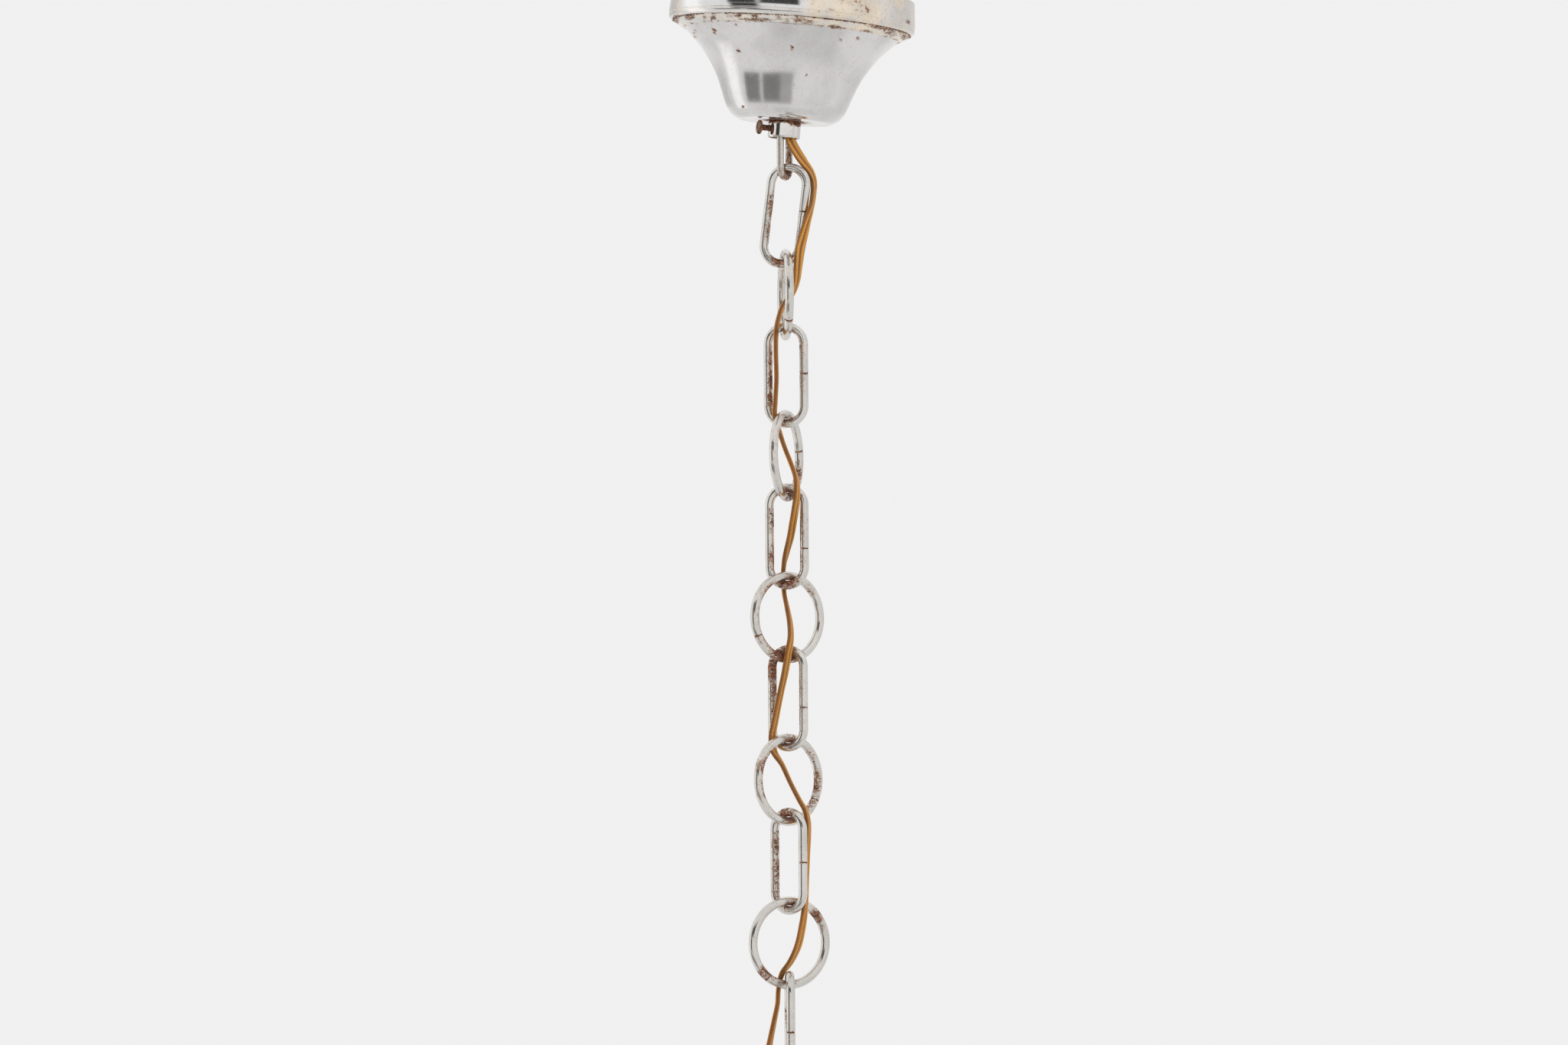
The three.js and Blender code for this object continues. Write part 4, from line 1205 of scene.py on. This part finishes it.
def levelsOf(node):
    # Lowest and highest level of a solid
    low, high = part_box(node)
    return low.z / mm, high.z / mm


capBottom, capTop = levelsOf("lampholder_cap")
capRadius = holder["capRadius"]
capInside = capRadius - holder["capWall"]
cornerRadius = capRadius - holder["capCorner"]
cornerLevel = capTop - holder["capCorner"]
capRows = [
    (5.2, capTop), (9, capTop),
    *arc(holder["capCorner"], 90, 0, 10, cornerRadius, cornerLevel),
    *[(capRadius, capTop - 5 - i * 1.4) for i in range(11)],
    (capRadius, capBottom + 0.4), (capRadius - 0.4, capBottom), (capInside, capBottom),
    *arc(2, 0, 90, 6, cornerRadius, cornerLevel),
    (5.2, capTop - 2),
]


def flutes(radius, height, angle):
    within = capBottom + 1.5 < height < capTop - 4.6 and radius > capRadius - 0.2
    return -holder["fluteDepth"] * max(0, math.cos(angle * holder["flutes"])) if within else 0


capPiece = turnedPiece(
    "holderCap", capRows, phenolic, "lamp", ["lampholder_cap"], 192, ripple=flutes,
)
cutAway(capPiece, toolRod(cover["entryHole"], capTop - 7, capTop + 2, entry))

bodyBottom, bodyTop = levelsOf("lampholder_body")
bodyRadius = holder["bodyRadius"]
shoulder = bodyTop - 8
bodyRows = raised(bodyTop, [(15.2, -0.2), (16.4, 0), (16.7, -0.3)])
bodyRows += raised(shoulder, [
    (16.7, 0.1), (16.6, 0), (19, 0), (bodyRadius, -0.3), (bodyRadius, -1.8), (18.9, -2.2), (18.9, -2.9),
    (bodyRadius, -3.3),
])
level = shoulder - 4
while level > bodyBottom + 5:
    bodyRows += [(bodyRadius, level), (bodyRadius - holder["ribDepth"], level - holder["ribGap"] / 2)]
    level -= holder["ribGap"]
bodyRows += inset(bodyRadius, raised(bodyBottom, [(0, 4), (0, 1.2), (0.4, 0.4), (1.2, 0)]))
bodyRows += raised(bodyBottom, [(14.5, 0), (14, 0.5)])
bodyRows += raised(shoulder, [(14, -5.3), (14.9, -5.3), (15.2, -3)])
turnedPiece("holderBody", bodyRows, phenolic, "lamp", ["lampholder_body"], 144)

ringBottom, ringTop = levelsOf("shade_ring")
ringRadius = holder["shadeRing"]
shadeRows = [
    (19.6, ringBottom),
    *inset(ringRadius, raised(ringBottom, [(1.2, 0), (0.3, 0.5), (0, 1), (0, 2.2), (0, 3.2)])),
    *inset(ringRadius, raised(ringTop, [(0, -2), (0.3, -1.5), (1.8, -0.2), (2.3, 0)])),
    *raised(ringTop, [(19.9, 0), (19.6, -0.3)]),
]


def knurls(radius, height, angle):
    if radius < ringRadius - 0.1:
        return 0
    return -holder["knurlDepth"] * max(0, math.cos(angle * holder["knurls"]))


turnedPiece(
    "shadeRing", shadeRows, phenolic, "lamp", ["shade_ring"], 480, ripple=knurls, crisp=50,
)
print("lamp end made")


# Bulb

bulb = {
    "radius": 30,
    "wall": 0.7,
    "threadPitch": 3.2,
    "threadDepth": 0.55,
    "threadRow": 0.4,
    "turn": 20,
    "lead": [(2.2, 40), (2.6, 33), (3.4, 27), (6.5, 23), (9.5, 20)],
    "support": [(1.0, 7.6), (4.5, 6.4), (8.6, 7)],
    "supports": 5,
    "cage": 11,
}
bulbCapBottom, buttonTop = levelsOf("bulb_cap")
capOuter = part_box("bulb_cap")[1].x / mm
globeBottom = levelsOf("bulb_glass")[0]
globeCentre = globeBottom + bulb["radius"]
glassTop = bulbCapBottom + 8
glassNeck = capOuter - 0.9
threadTop = buttonTop - 2.4 - 3.6
threadCount = int((threadTop - bulbCapBottom - 2.4) / bulb["threadRow"])
capRows = [
    *raised(buttonTop, [(0, 0), (3.4, 0), (4.3, -0.3), (4.6, -0.9), (4.9, -1), (7.2, -2.4)]),
    *inset(capOuter, raised(buttonTop, [(1, -4), (0.3, -4.8)])),
    *[(capOuter, threadTop - i * bulb["threadRow"]) for i in range(threadCount)],
    *inset(capOuter, raised(bulbCapBottom, [(0, 1.6), (0.25, 0.2), (0.6, 0)])),
    *raised(buttonTop, [(capOuter - 0.6, -6), (4.6, -3.4), (0, -3.4)]),
]


def screwThread(radius, height, angle):
    if not bulbCapBottom + 2.3 < height < threadTop + 0.1 or radius < capOuter - 0.1:
        return 0
    turn = height / bulb["threadPitch"] * 2 * math.pi + angle
    return -bulb["threadDepth"] * (0.5 - 0.5 * math.cos(turn)) ** 1.5


turnedPiece(
    "bulbCap", capRows, brassPlain, "bulb", ["bulb_cap"], 96, ripple=screwThread, crisp=50,
)

globeEdge = math.radians(34)
glassRows = [(glassNeck, glassTop), *smoothRows([
    (glassNeck, bulbCapBottom - 1), (14.4, globeCentre + 40), (19.6, globeCentre + 29.5),
    (bulb["radius"] * math.cos(globeEdge), globeCentre + bulb["radius"] * math.sin(globeEdge)),
], 8)]
glassRows += arc(bulb["radius"], 30, -88, 34, 0, globeCentre)
glassInner = offsetInward(glassRows, bulb["wall"])
glassRows += [(0, globeBottom), (0, globeBottom + bulb["wall"]), *reversed(glassInner)]
turnedPiece("bulbGlass", glassRows, bulbGlass, "bulb", ["bulb_glass"], 96, crisp=70)

stemRows = raised(globeCentre, [
    (0, 6), (1.2, 6.2), (2.1, 7), (1.7, 9), (1.6, 22), (2.2, 26), (2.9, 32), (3.6, 38), (6.2, 42),
])
stemRows += inset(glassNeck, raised(glassTop, [(2.2, -3), (1.2, -1), (1.2, 0)])) + [(0, glassTop)]
turnedPiece("bulbStem", stemRows, bulbGlass, "bulb", ["bulb_stem"], 48, crisp=70)


def thinWire(name, points, diameter, material, sides=8):
    # A fine wire in the bulb, along points in space
    vertices = []
    side = Vector((0, 0, 1))
    for i, spot in enumerate(points):
        ahead = (points[min(i + 1, len(points) - 1)] - points[max(i - 1, 0)]).normalized()
        side = side - ahead * side.dot(ahead)
        side = side.normalized() if side.length > 1e-4 else ahead.orthogonal().normalized()
        over = ahead.cross(side)
        for j in range(sides):
            angle = 2 * math.pi * j / sides
            vertices.append((spot + (side * math.cos(angle) + over * math.sin(angle)) * diameter / 2) * mm)
    faces = ringFaces(len(points), sides) + endCaps(len(vertices), sides)
    newPiece(name, vertices, faces, material, "bulb")


def around(degrees, rows, steps):
    # A smooth way up one side of the stem, through rows of (radius, height over the globe's middle)
    points = [upright(degrees) * radius + Vector((0, 0, globeCentre + rise)) for radius, rise in rows]
    return smoothed(points, steps)


for i in range(2):
    lead = around(bulb["turn"] + 180 * i, bulb["lead"], 6)
    thinWire(f"leadWire{i + 1}", lead, 0.6, copper)
for i in range(bulb["supports"]):
    prong = around(bulb["turn"] + 30 + 360 * i / bulb["supports"], bulb["support"], 6)
    thinWire(f"supportWire{i + 1}", prong, 0.4, tungsten)
filament = []
for i in range(bulb["cage"]):
    # Up to the leads' level and down to the supports', round half of the stem
    radius, rise = bulb["support"][-1] if i % 2 else bulb["lead"][-1]
    turn = bulb["turn"] + 180 * (i / (bulb["cage"] - 1))
    filament.append(upright(turn) * radius + Vector((0, 0, globeCentre + rise)))
thinWire("filament", smoothed(filament, 8), 0.35, tungsten)
print("bulb made")


# Finishes of the solids that stay

finishes = [
    (zincPlate, ["ceiling_bracket", "hook_lock_nut", "collar_lock_ring", "block_screw"]),
    (zincPlate, ["eye_nipple", "cover_nut", "cap_nut"]),
    (porcelain, ["terminal_block", "lampholder_core"]),
    (brassPlain, ["terminal_sleeve_1", "terminal_sleeve_2", "centre_contact", "screw_shell"]),
    (brassPlain, [f"terminal_screw_{i + 1}" for i in range(4)]),
]
edgeSize = {"ceiling_bracket": 0.4, "terminal_block": 0.8, "screw_shell": 0.1}

for material, nodes in finishes:
    for node in nodes:
        solid = frame["nodes"][node]
        solid.data.materials.clear()
        solid.data.materials.append(material)
        edges = solid.modifiers.new("edges", "BEVEL")
        edges.width = edgeSize.get(node, 0.25) * mm
        edges.segments = 2
        edges.limit_method = "ANGLE"
        edges.angle_limit = math.radians(40)
print("solids finished")


# Floor, background and light

studio = {
    "floorLevel": -1000,
    "floorSize": 2.4,
    "floorFade": (0.5, 2.3),
    "floorSeen": 0.84,
    "background": 0.88,
    "ambient": 0.88,
    "lowRoom": 0.80,
    "aim": Vector((0, 0, -0.35)),
    "front": Vector((0, -0.986, -0.168)),
}
lamps = [
    {"name": "keyLight", "spot": (-1.8, -1.6, 0.8), "size": (1.2, 1.6), "power": 34, "warmth": 0.05},
    {"name": "fillLight", "spot": (2.0, -1.2, 0.1), "size": (1.0, 1.8), "power": 16, "warmth": 0},
    {"name": "rimLight", "spot": (0.6, 1.8, 0.7), "size": (1.2, 1.2), "power": 10, "warmth": 0},
]

# What the metal mirrors, by the way that the mirroring surface faces: around counts from the front,
# left is negative; up counts from square to the canopy's own axis, under it is negative
roomPatches = [
    {"around": (-60, -47), "up": (-40, 30), "strength": 1.12, "soft": 3},
    {"around": (-95, -66), "up": (-30, 30), "strength": 0.66, "soft": 6},
    {"around": (54, 95), "up": (-30, 30), "strength": 0.74, "soft": 6},
    {"around": (-31, 3.5), "up": (3.4, 14), "strength": 0.05, "soft": 0.8},
    {"around": (-17, -14.5), "up": (3.4, 14), "strength": 0.5, "soft": 0.8},
    {"around": (-30, -16), "up": (-12, 3.4), "strength": 0.05, "soft": 1.6},
    {"around": (30, 42), "up": (-10, 20), "strength": 0.76, "soft": 5},
    {"around": (-15, 30), "up": (-50, -33), "strength": 0.70, "soft": 4},
    {"around": (-41, 2.5), "up": (-25.2, -14.6), "strength": 0.24, "soft": 1.7},
    {"around": (-8, 2.5), "up": (-25.2, -14.6), "strength": 0.44, "soft": 1.8},
    {"around": (-26.5, -23.5), "up": (-27, -13), "strength": 0.66, "soft": 1.1},
]


def floorMaterial():
    # Pale under the lamp, and faded out before its far edge
    material, tree, shader = newMaterial("paleFloor")
    spot = place(tree)
    mottle = ramp(tree, noise(tree, spot, 3, 2), [(0.3, 0.80), (0.7, 0.83)])
    seen = tree.nodes.new("ShaderNodeLightPath").outputs["Is Camera Ray"]
    tone = times(tree, mottle, mixValue(tree, seen, 1.0, studio["floorSeen"]))
    tree.links.new(tone, shader.inputs["Base Color"])
    setInputs(shader, {"Roughness": 0.9, "Specular IOR Level": 0.1})
    away = vectorNode(tree, "DISTANCE", spot, Vector((0, 0, studio["floorLevel"] * mm)))
    clear = tree.nodes.new("ShaderNodeBsdfTransparent")
    gone = step(tree, away.outputs["Value"], *studio["floorFade"])
    faded = addNode(tree, "ShaderNodeMixShader", {0: gone, 1: shader.outputs[0], 2: clear.outputs[0]})
    tree.links.new(faded.outputs[0], tree.nodes["Material Output"].inputs[0])
    return material


half = studio["floorSize"]
floorMesh = bpy.data.meshes.new("floor")
corners = [(-half, -half), (half, -half), (half, half), (-half, half)]
floorMesh.from_pydata([(x, y, studio["floorLevel"] * mm) for x, y in corners], [], [(0, 1, 2, 3)])
floorMesh.materials.append(floorMaterial())
floor = addObject("floor", floorMesh)
floor.visible_glossy = False


def between(tree, value, low, high, soft):
    # 1 from low to high, in degrees, soft at both ends
    rise = step(tree, value, math.radians(low - soft), math.radians(low + soft))
    fall = step(tree, value, math.radians(high - soft), math.radians(high + soft))
    return mathNode(tree, "SUBTRACT", rise, fall, True)


def studioWorld():
    # Plain behind the lamp; the metal mirrors a pale room with the patches in it
    world = bpy.data.worlds.new("room")
    world.use_nodes = True
    tree = world.node_tree
    tree.nodes.clear()
    output = tree.nodes.new("ShaderNodeOutputWorld")
    direction = tree.nodes.new("ShaderNodeTexCoord").outputs["Generated"]
    z = addNode(tree, "ShaderNodeSeparateXYZ", {0: direction}).outputs[2]
    halfway = vectorNode(tree, "ADD", direction, studio["front"]).outputs[0]
    facing = vectorNode(tree, "NORMALIZE", halfway).outputs[0]
    up = mathNode(tree, "ARCSINE", vectorNode(tree, "DOT_PRODUCT", facing, lean).outputs["Value"])
    parts = addNode(tree, "ShaderNodeSeparateXYZ", {0: facing}).outputs
    aside = mathNode(tree, "ARCTAN2", parts[0], times(tree, parts[1], -1))
    strength = mixValue(tree, step(tree, z, -0.35, 0.1), studio["lowRoom"], studio["ambient"])
    for patch in roomPatches:
        across = between(tree, aside, *patch["around"], patch["soft"])
        level = between(tree, up, *patch["up"], patch["soft"])
        strength = mixValue(tree, times(tree, across, level), strength, patch["strength"])
    mirrored = addNode(tree, "ShaderNodeBackground", {"Strength": strength}, Color=(1, 0.99, 0.975, 1))
    plain = addNode(
        tree, "ShaderNodeBackground", Color=(1, 0.994, 0.996, 1), Strength=studio["background"],
    )
    seen = tree.nodes.new("ShaderNodeLightPath").outputs
    through = mathNode(tree, "MAXIMUM", seen["Is Camera Ray"], seen["Is Transmission Ray"])
    sources = {0: through, 1: mirrored.outputs[0], 2: plain.outputs[0]}
    both = addNode(tree, "ShaderNodeMixShader", sources)
    tree.links.new(both.outputs[0], output.inputs[0])
    scene.world = world


def softLight(name, spot, size, power, warmth):
    data = bpy.data.lights.new(name, "AREA")
    data.shape = "RECTANGLE"
    data.size, data.size_y = size
    data.energy = power
    data.color = (1, 1 - warmth * 0.4, 1 - warmth)
    light = addObject(name, data)
    light.visible_glossy = False
    turned = (studio["aim"] - Vector(spot)).to_track_quat("-Z", "Y").to_matrix().to_4x4()
    light.matrix_world = Matrix.Translation(Vector(spot)) @ turned


studioWorld()
for lamp in lamps:
    softLight(**lamp)
scene.view_settings.view_transform = "Standard"
print("floor, room and lights set")
